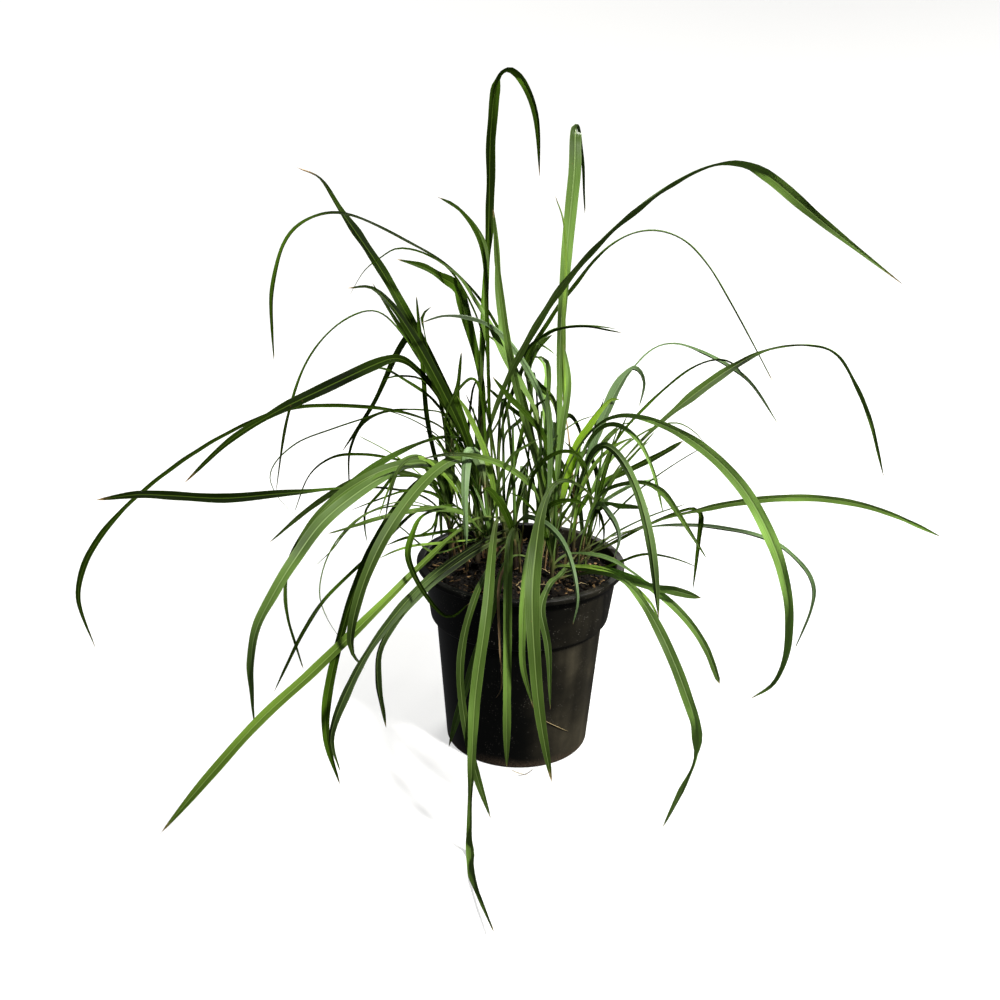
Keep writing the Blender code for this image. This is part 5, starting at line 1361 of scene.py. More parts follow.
# Read in the photograph, leaf by leaf. A stem's thin leaves are counted from the left.
# Each shine profile paints the light and shade that fall along its leaf into its colour.
TRACES: Mapping[str, Trace] = {
    "arch_left_fine": Trace(
        (0, 50, 12, 60, 23, 85, 35, 75, 50, 75, 62, 100),
        (45, 70, 55, 25, 72, 15, 78, 140, 84, 260, 90, 150, 100, 100),
        (70, 0, 0, 76, -5, 26, 82, -18, 14, 88, -11, 4, 100, 0, 0),
    ),
    "arch_right_big": Trace(
        (0, 40, 19, 50, 28, 60, 38, 90, 49, 98, 58, 90, 63, 115, 67, 80, 70, 42, 73.5, 22, 77, 45, 80,
         80, 85, 95, 88, 82, 94, 66, 100, 60),
        (30, 120, 60, 130, 65, 140, 70, 330, 78, 350, 82, 200, 88, 110, 94, 280),
        (34, 0, 0, 40, 32, -16, 46, 22, -10, 52, 7, 0, 60, 0, 8, 70, 2, 13, 76, 9, 12, 82, -7, -19, 100,
         -5, -15),
    ),
    "arch_right_fine": Trace(
        (0, 40, 22, 50, 30, 100, 38, 150, 46, 220, 53, 300, 57, 100, 62, 75, 77, 85, 88, 110, 100, 120),
        (30, 110, 50, 100, 58, 190, 74, 200, 82, 260, 90, 220, 100, 140),
    ),
    "arch_right_low": Trace(
        (0, 36, 16, 46, 36, 90, 60, 80, 66, 85, 72, 135, 80, 135, 100, 150),
        (30, 180, 45, 240, 58, 260, 64, 340, 76, 340, 82, 280, 90, 160),
        (64, 0, 0, 76, -12, -14, 94, 0, 0),
    ),
    "back_high": Trace((0, 50, 35, 35, 55, 35, 100, 70), (55, 160, 64, 50, 100, 60)),
    "back_left": Trace((0, 50, 100, 65)),
    "back_left_high": Trace((0, 50, 35, 35, 55, 35, 100, 70), (40, 130, 50, 100, 60, 50, 100, 60)),
    "back_middle": Trace((0, 50, 35, 35, 55, 35, 100, 70)),
    "back_right": Trace((0, 50, 100, 60)),
    "back_right_wide": Trace((0, 45, 100, 65)),
    "big_arch_right": Trace(
        (0, 50, 14, 60, 30, 50, 40, 52, 46, 60, 52, 80, 60, 88, 78, 90, 84, 105, 100, 140),
        (28, 80, 35, 180, 40, 320, 46, 120, 58, 140, 70, 300, 78, 320, 88, 350, 94, 240, 100, 160),
    ),
    "bright_left": Trace(
        (0, 80, 20, 90, 30, 100),
        (38, 50, 46, 110, 54, 55, 64, 70, 76, 90, 86, 70, 100, 50),
    ),
    "bundle_mid": Trace((40, 50, 56, 60, 72, 70, 81, 80, 100, 100), (70, 90, 90, 50)),
    "bundle_wide": Trace(
        (13, 50, 26, 42, 36, 46, 45, 57, 57, 78, 69, 100),
        (40, 60, 70, 40, 84, 30, 92, 55, 100, 60),
    ),
    "cross_up": Trace(
        (0, 40, 25, 50, 42, 55, 50, 65, 60, 85, 69, 100),
        (45, 100, 55, 200, 65, 140, 75, 100, 83, 45, 100, 40),
    ),
    "drape_left": Trace(painted_light_and_tone=(30, 110, 60, 95, 70, 60, 100, 70)),
    "drape_left_dark": Trace(
        (0, 36, 16, 46, 36, 100, 70, 100, 78, 130, 90, 135, 100, 160),
        (30, 40, 52, 35, 58, 80, 70, 60, 77, 140, 86, 280, 92, 280, 100, 190),
        (58, 0, 0, 70, -15, 0, 76, -23, 5, 82, -21, 4, 90, 0, 0, 100, 12, 0),
    ),
    "drop_right_grey": Trace(
        (0, 40, 23, 50, 45, 75, 70, 85, 78, 110, 84, 140, 90, 170, 100, 180),
        (58, 80, 66, 150, 82, 140, 90, 100, 100, 150),
    ),
    "fold_dark": Trace(
        (13, 50, 25, 34, 37, 33, 49, 40, 57, 45, 68, 80, 74, 100, 83, 115, 91, 160, 100, 160),
        (40, 150, 55, 200, 65, 240, 71, 130, 76, 200, 84, 130, 100, 100),
        (50, 0, 0, 58, -14, -5, 70, -17, -6, 76, -2, -6, 82, -14, -32, 88, 0, -16, 100, 0, 0),
    ),
    "front_centre": Trace(
        (0, 50, 20, 70, 27, 45, 39, 40, 43, 44, 48, 58, 55, 80, 62, 90, 70, 98, 87, 105),
        (56, 50, 62, 100, 75, 70, 85, 100, 100, 80),
        (50, 0, 0, 62, -8, 0, 74, 16, 0, 88, 26, 0, 100, 16, 0),
    ),
    "front_centre_b": Trace(
        (27, 60, 50, 90, 65, 100),
        (45, 60, 58, 100, 64, 220, 84, 220, 92, 140, 100, 120),
    ),
    "front_left": Trace(painted_light_and_tone=(30, 70, 60, 65, 86, 65, 94, 150, 100, 120)),
    "front_long": Trace(
        (0, 60, 18, 80, 30, 100, 64, 100, 70, 70, 76, 125, 82, 230, 88, 150, 94, 140, 100, 180),
        (20, 40, 30, 100, 50, 100, 57, 140, 63, 120, 68, 50, 75, 220, 84, 150, 90, 110, 95, 170),
        (70, 0, 0, 82, -8, 0, 94, -18, -4, 100, -20, 0),
    ),
    "front_mid": Trace(
        (0, 60, 20, 70, 35, 100),
        (20, 50, 40, 120, 56, 200, 80, 200, 90, 130, 100, 100),
        (40, 0, 0, 60, 15, 0, 100, 8, 0),
    ),
    "grey_left": Trace(
        (0, 40, 20, 50, 34, 50, 40, 42, 46, 65, 55, 90),
        (34, 60, 42, 50, 47, 140, 60, 120, 100, 100),
        (28, 0, 10, 34, 7, 17, 46, 0, 17, 56, 0, 0),
    ),
    "level_left": Trace(
        (0, 40, 20, 60, 40, 80, 80, 100, 88, 125, 94, 160, 100, 170),
        (30, 50, 44, 90, 52, 140, 58, 30, 66, 15, 90, 20, 100, 40),
        (40, 0, 0, 58, 0, 13, 70, 0, 6),
    ),
    "level_right": Trace(
        (0, 36, 16, 40, 28, 45, 34, 55, 42, 100, 80, 120, 88, 150, 94, 220, 100, 220),
        (20, 20, 28, 140, 34, 120, 40, 90, 50, 100, 60, 210, 70, 150, 82, 150, 88, 340),
        (10, 0, 12, 16, 0, 16, 28, 0, 12, 34, 0, 0, 76, 0, 4, 82, 10, 12, 100, 10, 10),
    ),
    "level_right_b": Trace(
        (16, 36, 36, 90, 70, 105, 76, 160, 88, 200, 100, 250),
        (15, 30, 28, 50, 50, 40, 62, 240, 76, 300, 84, 300, 90, 140, 100, 40),
        (10, 0, 18, 22, 0, 20, 28, 8, 11, 46, 8, 4, 52, 8, -5, 88, 14, 0, 100, 22, 0),
    ),
    "light_left": Trace(
        (0, 36, 16, 46, 36, 100, 70, 100, 76, 115, 82, 145, 94, 160, 100, 180),
        (30, 80, 55, 75, 63, 40, 69, 100, 78, 100, 88, 80, 100, 150),
        (70, 0, 0, 82, 12, 0, 88, 9, 0, 100, -5, 0),
    ),
    "long_left": Trace(
        (0, 36, 16, 46, 36, 100, 46, 88, 52, 74, 64, 76, 70, 65, 76, 56, 82, 80, 88, 93, 100, 80),
        (40, 150, 46, 50, 53, 50, 58, 100, 72, 110, 86, 65, 100, 80),
        (40, 0, 4, 46, 5, 18, 52, 0, 26, 58, 7, 5, 70, 0, 11, 88, 12, 0, 94, -22, -11),
    ),
    "loop_left": Trace(
        (0, 36, 16, 46, 40, 45, 48, 40, 56, 70, 64, 100),
        (40, 150, 52, 200, 64, 150, 70, 45, 100, 50),
        (30, 0, 0, 40, -6, 20, 52, -17, 21, 58, 2, 3, 64, -10, 0, 75, 0, 0),
    ),
    "over_rim_left": Trace(
        (0, 60, 30, 70, 52, 85, 58, 110, 64, 95, 70, 75, 76, 100, 82, 130, 100, 130),
        (20, 4, 42, 5, 50, 80, 56, 60, 64, 45, 76, 30, 82, 40, 90, 40, 100, 90),
        (66, 0, 0, 70, -12, 12, 76, -2, 5, 82, 0, 0),
    ),
    "pale_mid": Trace((0, 40, 30, 55, 48, 60, 66, 80, 75, 100), (60, 100, 82, 160, 90, 190, 100, 120)),
    "reach_left_wide": Trace(
        (22, 40, 34, 75, 40, 55, 46, 58, 54, 68, 59, 95, 69, 100, 76, 105, 82, 72, 90, 100, 100, 130),
        (40, 30, 46, 18, 52, 40, 60, 35, 65, 9, 76, 22, 84, 55, 100, 50),
        (46, 0, 0, 58, 10, 0, 70, 2, 13, 76, 2, 14, 82, -5, 22, 88, -7, 20, 94, -18, 26),
    ),
    "reach_right": Trace(
        (0, 40, 16, 32, 22, 28, 28, 38, 34, 45, 40, 85, 46, 82, 52, 57, 58, 30, 64, 42, 70, 80, 76, 70,
         82, 95, 88, 100, 100, 150),
        (20, 80, 46, 90, 52, 12, 58, 140, 64, 160, 69, 350, 77, 360, 82, 340, 88, 260, 100, 160),
        (10, 0, 0, 16, -6, 9, 22, -12, 17, 28, 6, 2, 52, 5, 6, 58, 5, 12, 64, 9, 0, 76, -9, -9, 82, -3,
         -4, 88, 30, 6, 100, 32, 5),
    ),
    "rim_right": Trace(
        (0, 80, 20, 90, 30, 100, 76, 110, 88, 150, 94, 220, 98, 360, 100, 450),
        (20, 240, 30, 320, 58, 360, 64, 180, 76, 140, 88, 110, 100, 100),
    ),
    "rim_right_long": Trace(
        (20, 80, 28, 65, 36, 90, 46, 107, 64, 107, 70, 128, 76, 190, 80, 120, 84, 100, 90, 140, 100,
         180),
        (20, 240, 28, 340, 34, 240, 40, 90, 58, 75, 65, 120, 70, 320, 80, 360, 84, 240, 88, 90, 100,
         110),
        (82, 0, 0, 88, 15, -4, 94, -20, 11),
    ),
    "spear_right": Trace(
        (0, 36, 16, 46, 36, 100, 70, 110, 82, 160, 88, 190, 94, 280, 100, 300),
        (40, 240, 52, 340, 58, 80, 80, 45, 88, 50, 94, 100, 100, 120),
        (40, 0, 0, 50, 3, 14, 82, 0, 19, 100, 0, 16),
    ),
    "stripe_left": Trace(
        (0, 40, 19, 50, 27, 60, 37, 85, 48, 90, 60, 100, 76, 110, 82, 135, 88, 150, 94, 190, 100, 170),
        (30, 100, 40, 120, 46, 20, 52, 20, 58, 70, 64, 100, 70, 40, 76, 20, 82, 20, 88, 70, 94, 20, 100,
         50),
        (40, 0, 0, 46, 9, 0, 58, 15, 6, 64, 32, 12, 70, 23, 8, 76, 16, 5, 82, 7, 0, 88, -5, -8, 100, 5,
         0),
    ),
    "tall_mid": Trace(
        (0, 50, 15, 60, 44, 85, 50, 72, 56, 120, 60, 135, 66, 120, 76.5, 112, 78.5, 45, 80, 45, 82.5, 88,
         85, 105, 91, 118, 100, 120),
        (20, 30, 30, 45, 35, 160, 40, 340, 46, 360, 51, 80, 60, 25, 70, 30, 76, 90, 80, 360, 84, 360, 88,
         100, 100, 80),
        (10, 0, 0, 22, -35, 0, 34, -20, 0, 46, -6, 0, 52, 20, 0, 58, 10, 0, 66, -4, 0, 100, 0, 0),
    ),
    "tall_right": Trace(
        (0, 50, 14, 60, 42, 66, 50, 80, 57, 93, 70, 100, 77.5, 100, 79, 80, 82, 40, 86, 50, 91, 80, 100,
         100),
        (28, 140, 38, 90, 46, 30, 52, 110, 58, 170, 66, 110, 76, 40, 90, 30),
        (40, 0, 0, 46, 10, 0, 58, 10, 0, 64, 14, 0, 70, 18, 0, 78, 0, 0),
    ),
    "tiller_front_left.0": Trace(painted_light_and_tone=(0, 160, 100, 190), moved=(30, -10, 0, 70, -18, 0)),
    "tiller_front_right.0": Trace(
        (0, 80, 20, 100, 60, 120, 76, 110, 86, 150, 94, 190, 100, 200),
        (40, 180, 60, 240, 78, 220, 88, 140, 100, 100),
    ),
    "tiller_left.0": Trace(
        painted_light_and_tone=(64, 150, 72, 50),
        moved=(50, 0, 0, 64, -6, 10, 82, -15, 10, 100, 0, 0),
    ),
    "tiller_left.1": Trace(
        (30, 80, 60, 75, 75, 120, 85, 170, 100, 170),
        (30, 140, 60, 180, 72, 150, 80, 35, 100, 30),
        (30, 0, 0, 45, 0, 11, 58, -11, 9, 80, 0, 0),
    ),
    "tiller_left.2": Trace(
        (0, 80, 20, 100, 66, 100, 76, 140, 88, 180, 94, 220, 100, 220),
        (42, 40, 55, 130, 65, 130, 70, 30),
        (70, 0, 0, 82, 24, -12, 88, 9, -4, 100, 5, -3),
    ),
    "tiller_left.3": Trace(painted_light_and_tone=(80, 100, 88, 40)),
    "tiller_left.4": Trace(painted_light_and_tone=(40, 100, 50, 60, 66, 50, 80, 80, 90, 40)),
    "tiller_left.5": Trace(
        (0, 80, 30, 50, 40, 35, 60, 40, 75, 80, 100, 120),
        (30, 200, 60, 220, 80, 80, 100, 40),
    ),
    "tiller_left.6": Trace(
        (0, 80, 20, 100, 70, 100, 82, 150, 90, 140, 100, 180),
        (75, 100, 83, 40, 100, 60),
    ),
    "tiller_left_mid.0": Trace(
        (0, 80, 20, 100, 60, 120, 76, 150, 88, 170, 100, 180),
        moved=(40, 0, 15, 70, -8, 22, 82, -14, 19, 90, -6, 8, 100, 0, 0),
    ),
    "tiller_left_mid.1": Trace(
        (30, 80, 48, 50, 60, 75, 76, 140, 90, 170, 100, 180),
        (40, 150, 60, 120, 70, 50, 100, 40),
        (65, 0, 0, 76, -25, 12, 82, -29, 7, 90, -17, 0, 100, -10, 0),
    ),
    "tiller_left_mid.2": Trace((0, 80, 20, 100, 60, 110, 76, 150, 88, 180, 100, 200)),
    "tiller_left_mid.3": Trace(
        painted_light_and_tone=(10, 120, 30, 160, 55, 190, 64, 90, 82, 70, 90, 40, 100, 60),
        moved=(0, -10, 0, 10, -20, 0, 50, -20, 0, 60, -4, 0, 72, 8, 0, 100, 0, 0),
    ),
    "tiller_left_mid.4": Trace((20, 80, 50, 60, 70, 55, 100, 80), (30, 160, 55, 180, 64, 60, 100, 50)),
    "tiller_left_mid.5": Trace(painted_light_and_tone=(50, 120, 64, 190, 80, 120, 100, 90)),
    "tiller_middle.0": Trace(
        (0, 80, 20, 100, 56, 115, 70, 110, 80, 160, 88, 200, 94, 260, 100, 260),
        (40, 10, 50, 80, 58, 70, 68, 50, 76, 30, 88, 40, 100, 30),
        (45, 0, 0, 58, 14, -12, 66, 10, -5, 76, -8, 0, 84, 8, 0, 100, 12, 0),
    ),
    "tiller_middle_right.0": Trace(painted_light_and_tone=(20, 130, 60, 160, 76, 50, 90, 20)),
    "tiller_middle_right.1": Trace(painted_light_and_tone=(30, 140, 60, 150, 74, 100, 88, 50, 100, 90)),
    "tiller_middle_right.2": Trace(
        (0, 80, 10, 110, 20, 85, 32, 120, 40, 145, 48, 145, 56, 100, 100, 130),
        (0, 150, 30, 110, 46, 180, 56, 110, 76, 80),
        (0, 0, 0, 10, -20, 0, 22, -14, 0, 46, -22, 0, 52, -9, 0, 100, -8, 0),
    ),
    "tiller_middle_right.3": Trace(
        painted_light_and_tone=(10, 160, 34, 220, 42, 100, 50, 50, 60, 60, 68, 100, 100, 120),
        moved=(0, 10, 0, 16, 16, 0, 34, 20, 0, 42, 12, 0, 60, 6, 0, 82, 10, 0, 100, -5, 0),
    ),
    "tiller_right.0": Trace(
        painted_light_and_tone=(40, 150, 60, 220, 86, 260, 90, 120, 100, 100),
        moved=(30, 0, 0, 46, -20, 0, 70, -19, 0, 80, -8, -3, 100, 0, 0),
    ),
    "tiller_right.1": Trace(painted_light_and_tone=(35, 220, 45, 120, 100, 100)),
    "tiller_right.4": Trace(
        (0, 80, 20, 100, 52, 110, 58, 160, 70, 190, 76, 120, 100, 150),
        moved=(40, 0, 0, 58, 20, -10, 64, 16, -10, 76, 8, 8, 90, -8, 0, 100, -10, 0),
    ),
    "tiller_right.5": Trace(painted_light_and_tone=(40, 160, 55, 70, 65, 200, 90, 240, 100, 200)),
    "tiller_right_back.0": Trace(painted_light_and_tone=(30, 100, 60, 160, 72, 200, 80, 100)),
    "tiller_right_back.2": Trace(
        (30, 70, 40, 130, 60, 150, 100, 140),
        (30, 240, 40, 80, 62, 90, 74, 240, 85, 260, 90, 100),
        (30, 0, 0, 46, 6, -12, 58, -2, 7, 76, -3, 13, 82, -4, 24, 100, 0, 20),
    ),
    "tiller_right_back.3": Trace(
        (0, 80, 30, 90, 50, 135, 76, 140, 85, 200, 100, 240),
        (20, 120, 40, 160, 50, 220, 60, 120),
        (20, 10, -6, 40, 0, 0, 58, -11, 14, 70, -9, 16, 80, -6, 32, 90, 6, 18, 100, 12, 10),
    ),
    "tiller_right_back.4": Trace(
        (0, 80, 20, 120, 34, 80, 45, 60, 55, 65, 64, 120, 80, 200, 100, 220),
        (20, 100, 35, 140, 68, 200, 76, 100, 84, 40, 100, 80),
        (10, -20, 10, 22, -15, 10, 40, -4, 17, 48, 0, 14, 56, 0, -5, 72, 0, 0, 100, 5, 0),
    ),
    "tiller_right_lean.0": Trace(
        (0, 80, 20, 100, 50, 120, 70, 170, 90, 170, 100, 150),
        (30, 60, 60, 50, 80, 45, 100, 80),
        (50, 0, 0, 62, -16, 0, 72, -8, 0, 80, 8, 0, 90, 18, 0, 100, 5, 0),
    ),
    "tiller_right_lean.1": Trace((40, 80, 60, 150, 100, 150), (30, 220, 45, 200, 60, 60, 100, 45)),
    "tiller_right_lean.2": Trace(
        (0, 80, 30, 90, 50, 130, 80, 160, 88, 170, 100, 200),
        (10, 180, 30, 140, 46, 160, 55, 90, 80, 90, 90, 60),
        (40, 0, 0, 58, -14, -11, 70, -16, -9, 80, -9, -3, 100, -10, 0),
    ),
    "tiller_right_lean.3": Trace(
        (0, 80, 22, 150, 60, 170, 80, 220, 100, 220),
        (20, 50, 28, 140, 34, 240, 60, 240, 70, 150, 100, 110),
        (16, 0, 10, 28, 0, -10, 50, 0, -5, 76, 3, 10, 90, 6, 23),
    ),
    "tiller_right_lean.4": Trace(
        (0, 80, 25, 140, 40, 80, 60, 70, 70, 130, 100, 150),
        (30, 60, 40, 180, 60, 190, 70, 100, 80, 140, 100, 100),
        (20, -7, 14, 30, -8, 16, 40, -4, 8, 60, 0, 0, 70, -10, 0, 88, -22, 0, 100, -10, 0),
    ),
}


@dataclass
class LongLeaves:
    """The leaves that stand in the potting mix on their own foot.

    Attributes:
        tones: The leaves of each colour family.
        bury: How far a foot reaches into the potting mix.
        section: Corners in each cross-section of the CAD leaf.
        least: Fewest cross-sections of the CAD leaf.
        dried: How much of a special leaf's tip has dried.
        dry: How much of any other leaf's tip has dried.
    """

    bury: float = 0.0045
    section: int = 4
    least: int = 8
    dry: float = 0.10
    dried: Mapping[str, float] = field(
        default_factory=lambda: {"stripe_left": 0.30, "arch_right_big": 0.20, "front_centre": 0.15}
    )
    tones: Mapping[Tone, tuple[str, ...]] = field(
        default_factory=lambda: {
            Tone.MID: (
                "front_centre_b", "front_left", "level_right", "reach_right", "drape_left",
                "arch_right_low", "back_middle", "back_left", "drop_right_grey", "front_centre",
                "over_rim_left", "arch_right_big", "front_mid", "front_long",
            ),
            Tone.LIGHT: (
                "tall_right", "light_left", "rim_right", "front_cross", "big_arch_right",
                "rim_right_long", "pale_mid", "back_right",
            ),
            Tone.BRIGHT: ("bright_left",),
            Tone.GREY: ("cross_up", "level_right_b"),
        }
    )

    def habit_of(self, name: str) -> Habit:
        """Tell how a leaf differs from the others.

        Args:
            name: The leaf's name.

        Returns:
            Its habit.
        """
        tones = [tone for tone, names in self.tones.items() if name in names]
        tone = tones[0] if tones else Tone.DEEP
        return TRACES.get(name, PLAIN).habit(tone, Habit.girth, self.dried.get(name, self.dry))

    def build(
        self, nodes: Mapping[str, bpy.types.Object], view: Viewpoint, wardrobe: Wardrobe
    ) -> None:
        """Make every leaf from its CAD node.

        Args:
            nodes: The CAD nodes.
            view: The reference view.
            wardrobe: The finishes.
        """
        shape = LeafShape()
        for node in sorted(name for name in nodes if name.startswith("leaf_")):
            name = node.removeprefix("leaf_")
            line = Welded(nodes[node]).leaves(self.section, self.least)[0]
            line = line.nudged(TRACES.get(name, PLAIN).nudges(), view)
            foot = line.places[0]
            line = line.rooted([foot - UP * self.bury, foot - UP * self.bury / 2], float(line.halves[0]))
            gather = Gather()
            shape.build(gather, line, self.habit_of(name), name)
            piece = gather.piece(f"blade_{name}", wardrobe)
            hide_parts(node)


# How often each colour family comes among the thin young leaves.
WISP_CHANCES: Mapping[Tone, float] = {
    Tone.DEEP: 0.36, Tone.MID: 0.22, Tone.LIGHT: 0.20, Tone.BRIGHT: 0.19, Tone.DRY: 0.03,
}
SPRIG_SHINE: Girth = ((1.0, 1.25),)


@dataclass
class Tuft:
    """A stem with the fine leaves that grow from it.

    Attributes:
        node: The stem's CAD node.
        tones: Colour families of its CAD leaves, from left to right by their tips.
        young: Number of thin young leaves.
        sides: Corners around the stem.
        rings: Cross-sections of the stem.
        section: Corners in each cross-section of a CAD leaf.
        least: Fewest cross-sections of a CAD leaf.
        bury: How far the stem's foot reaches into the potting mix, in metres.
        spots: Places on the line of a thin young leaf.
    """

    node: str
    tones: tuple[Tone, ...]
    young: int = 6
    sides: int = 16
    rings: int = 26
    section: int = 3
    least: int = 4
    bury: float = 0.004
    spots: int = 9

    # Fewest corners of one of the stem's rings, and shares of its height where leaves grow.
    FEWEST_AROUND = 5
    GROWS_BETWEEN = (0.06, 0.82)
    # Where a leaf's line is led back into the stem, as shares of the lead, and half its width.
    LEAD_SHARES = (0.0, 0.2, 0.4, 0.6, 0.8)
    LEAD_HALF = 0.0013

    def build(self, cad: bpy.types.Object, view: Viewpoint, wardrobe: Wardrobe) -> None:
        """Make the stem and its leaves as one piece.

        Args:
            cad: The CAD node.
            view: The reference view.
            wardrobe: The finishes.
        """
        welded = Welded(cad)
        foot, top, radius = self.axis(welded.corners)
        gather = Gather()
        self.stem(gather, foot, top, radius)
        shape = LeafShape(pitch=0.006, rib=0.0006, stalk=0.0008)
        for index, line in enumerate(welded.leaves(self.section, self.least)):
            trace = TRACES.get(f"{self.node}.{index}", PLAIN)
            habit = trace.habit(self.tones[min(index, len(self.tones) - 1)], THIN_GIRTH)
            line = self.grown(line.nudged(trace.nudges(), view), foot, top)
            shape.build(gather, line, habit, f"{self.node} {index}")
        for index, sprig in enumerate(SPRIGS.get(self.node, ())):
            line = self.grown(sprig.line(view), foot, top)
            habit = Habit(sprig.tone, THIN_GIRTH, painted_light_and_tone=SPRIG_SHINE)
            shape.build(gather, line, habit, f"{self.node} sprig {index}")
        self.wisps(gather, foot, top, shape)
        piece = gather.piece(self.node.replace("tiller", "tuft"), wardrobe)
        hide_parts(self.node)

    @classmethod
    def axis(cls, corners: np.ndarray) -> tuple[np.ndarray, np.ndarray, float]:
        """Find the stem's ends among the node's corners.

        Args:
            corners: The node's corners.

        Returns:
            The middle of its foot, the middle of its top, and its radius at the foot.
        """
        levels: dict[float, list[int]] = {}
        for index, corner in enumerate(corners):
            levels.setdefault(round(float(corner[2]), 5), []).append(index)
        rings = [level for level in sorted(levels) if len(levels[level]) >= cls.FEWEST_AROUND]
        foot = corners[levels[rings[0]]]
        top = corners[levels[rings[-1]]]
        middle = foot.mean(axis=0)
        return middle, top.mean(axis=0), float(np.linalg.norm(foot[0] - middle))

    def stem(self, gather: Gather, foot: np.ndarray, top: np.ndarray, radius: float) -> None:
        """Add the stem, a bundle of wrapped sheaths.

        Args:
            gather: The piece.
            foot: Middle of its foot.
            top: Middle of its top.
            radius: Radius at the foot.
        """
        dice = random.Random(self.node)
        turn = dice.uniform(0.0, math.tau)
        start = foot - UP * self.bury
        corners = []
        flat = []
        for ring in range(self.rings):
            s = ring / (self.rings - 1)
            middle = start + (top - start) * s
            wrap = turn + s * 2.2
            step = 0.10 * (math.floor(s * 4.0) + 1 - s * 4.0)
            for k in range(self.sides):
                angle = math.tau * k / self.sides
                oval = 1 + 0.10 * math.cos(2 * (angle - turn))
                lap = ((angle - wrap) / math.tau) % 1.0
                size = radius * 0.74 * (1 - 0.52 * s) * oval * (0.90 + 0.16 * lap + step)
                corners.append(middle + np.array([math.cos(angle), math.sin(angle), 0.0]) * size)
                flat.append((k / self.sides, s))
        faces = bands(0, self.rings, self.sides, (0, 3, 2, 1))
        faces.append(tuple(reversed(range(self.sides))))
        faces.append(tuple((self.rings - 1) * self.sides + k for k in range(self.sides)))
        gather.add(corners, faces, Dress.SHEATH, flat, dice.random())

    def wisps(self, gather: Gather, foot: np.ndarray, top: np.ndarray, shape: LeafShape) -> None:
        """Add the thin young leaves that fill the heart of the clump.

        Args:
            gather: The piece.
            foot: Middle of the stem's foot.
            top: Middle of the stem's top.
            shape: How leaves are built.
        """
        dice = random.Random(f"{self.node} wisps")
        stem = top - foot
        heading = stem / np.linalg.norm(stem)
        tones, chances = zip(*WISP_CHANCES.items())
        shares = np.linspace(0.0, 1.0, self.spots)
        for index in range(self.young):
            start = foot + stem * dice.uniform(0.02, 0.45)
            lean = np.array([dice.gauss(0.0, 0.30), dice.gauss(0.0, 0.24), 0.0])
            lean[:2] += (start[:2] - np.array(CLUMP_MIDDLE)) * 1.4
            length = dice.uniform(0.05, 0.145)
            droop = dice.uniform(0.0, 1.0) ** 2 * 0.6
            places = []
            for t in shares:
                out = lean * (t * t * 0.8 + t * 0.35)
                fall = UP * (droop * t * t * t * 0.55)
                places.append(start + (heading * t + out - fall) * length)
            line = np.array(places)
            width = dice.uniform(2.2, 4.2) * MM
            halves = width / 2 * (0.55 + 0.45 * np.sin(np.pi * shares ** 0.8)) * (1 - shares ** 6)
            facing = np.array([-lean[0] + dice.gauss(0, 0.4), -lean[1] - 0.6 + dice.gauss(0, 0.4), 0.7])
            normals = np.repeat(facing[None, :] / np.linalg.norm(facing), self.spots, axis=0)
            tone = dice.choices(tones, chances)[0]
            # A random lightness for each young leaf: tone that differs, and painted light and shade in
            # the heart of the clump.
            habit = Habit(tone, THIN_GIRTH, painted_light_and_tone=((1.0, dice.uniform(0.7, 1.9)),))
            shape.build(gather, LeafLine(line, normals, halves), habit, f"{self.node} wisp {index}")

    @classmethod
    def grown(cls, line: LeafLine, foot: np.ndarray, top: np.ndarray) -> LeafLine:
        """Lead a leaf's line back into its stem.

        Args:
            line: The leaf's line, from where it is clear of the stem.
            foot: Middle of the stem's foot.
            top: Middle of the stem's top.

        Returns:
            The longer line.
        """
        first = line.places[0]
        stem = top - foot
        share = float((first - foot) @ stem) / float(stem @ stem)
        gap = float(np.linalg.norm(first - foot - stem * share)) / float(np.linalg.norm(stem))
        lowest, highest = cls.GROWS_BETWEEN
        share = min(highest, max(lowest, share - 0.5 * gap - 0.10))
        start = foot + stem * share
        heading = stem / np.linalg.norm(stem)
        reach = float(np.linalg.norm(first - start))
        leave = start + heading * reach * 0.4
        arrive = first - (line.places[1] - first) / np.linalg.norm(line.places[1] - first) * reach * 0.3
        roots = []
        for t in cls.LEAD_SHARES:
            roots.append(
                start * (1 - t) ** 3 + 3 * leave * t * (1 - t) ** 2 + 3 * arrive * t * t * (1 - t)
                + first * t ** 3
            )
        return line.rooted(roots, cls.LEAD_HALF)


def tufts() -> tuple[Tuft, ...]:
    """List the stems with the colour families of their CAD leaves.

    Returns:
        The stems.
    """
    deep, mid, light, bright = Tone.DEEP, Tone.MID, Tone.LIGHT, Tone.BRIGHT
    grey, backlit, dry = Tone.GREY, Tone.BACKLIT, Tone.DRY
    return (
        Tuft("tiller_left", (deep, deep, deep, deep, mid, mid, deep, mid)),
        Tuft("tiller_left_mid", (mid, deep, deep, mid, deep, deep)),
        Tuft("tiller_back", (mid, light), young=4),
        Tuft("tiller_middle", (mid, grey), young=3),
        Tuft("tiller_middle_right", (mid, light, light, bright), young=3),
        Tuft("tiller_right", (light, deep, deep, backlit, grey, light)),
        Tuft("tiller_right_back", (deep, mid, grey, deep, grey)),
        Tuft("tiller_right_lean", (light, deep, grey, light, deep)),
        Tuft("tiller_front_left", (grey, dry)),
        Tuft("tiller_front_right", (light,)),
    )


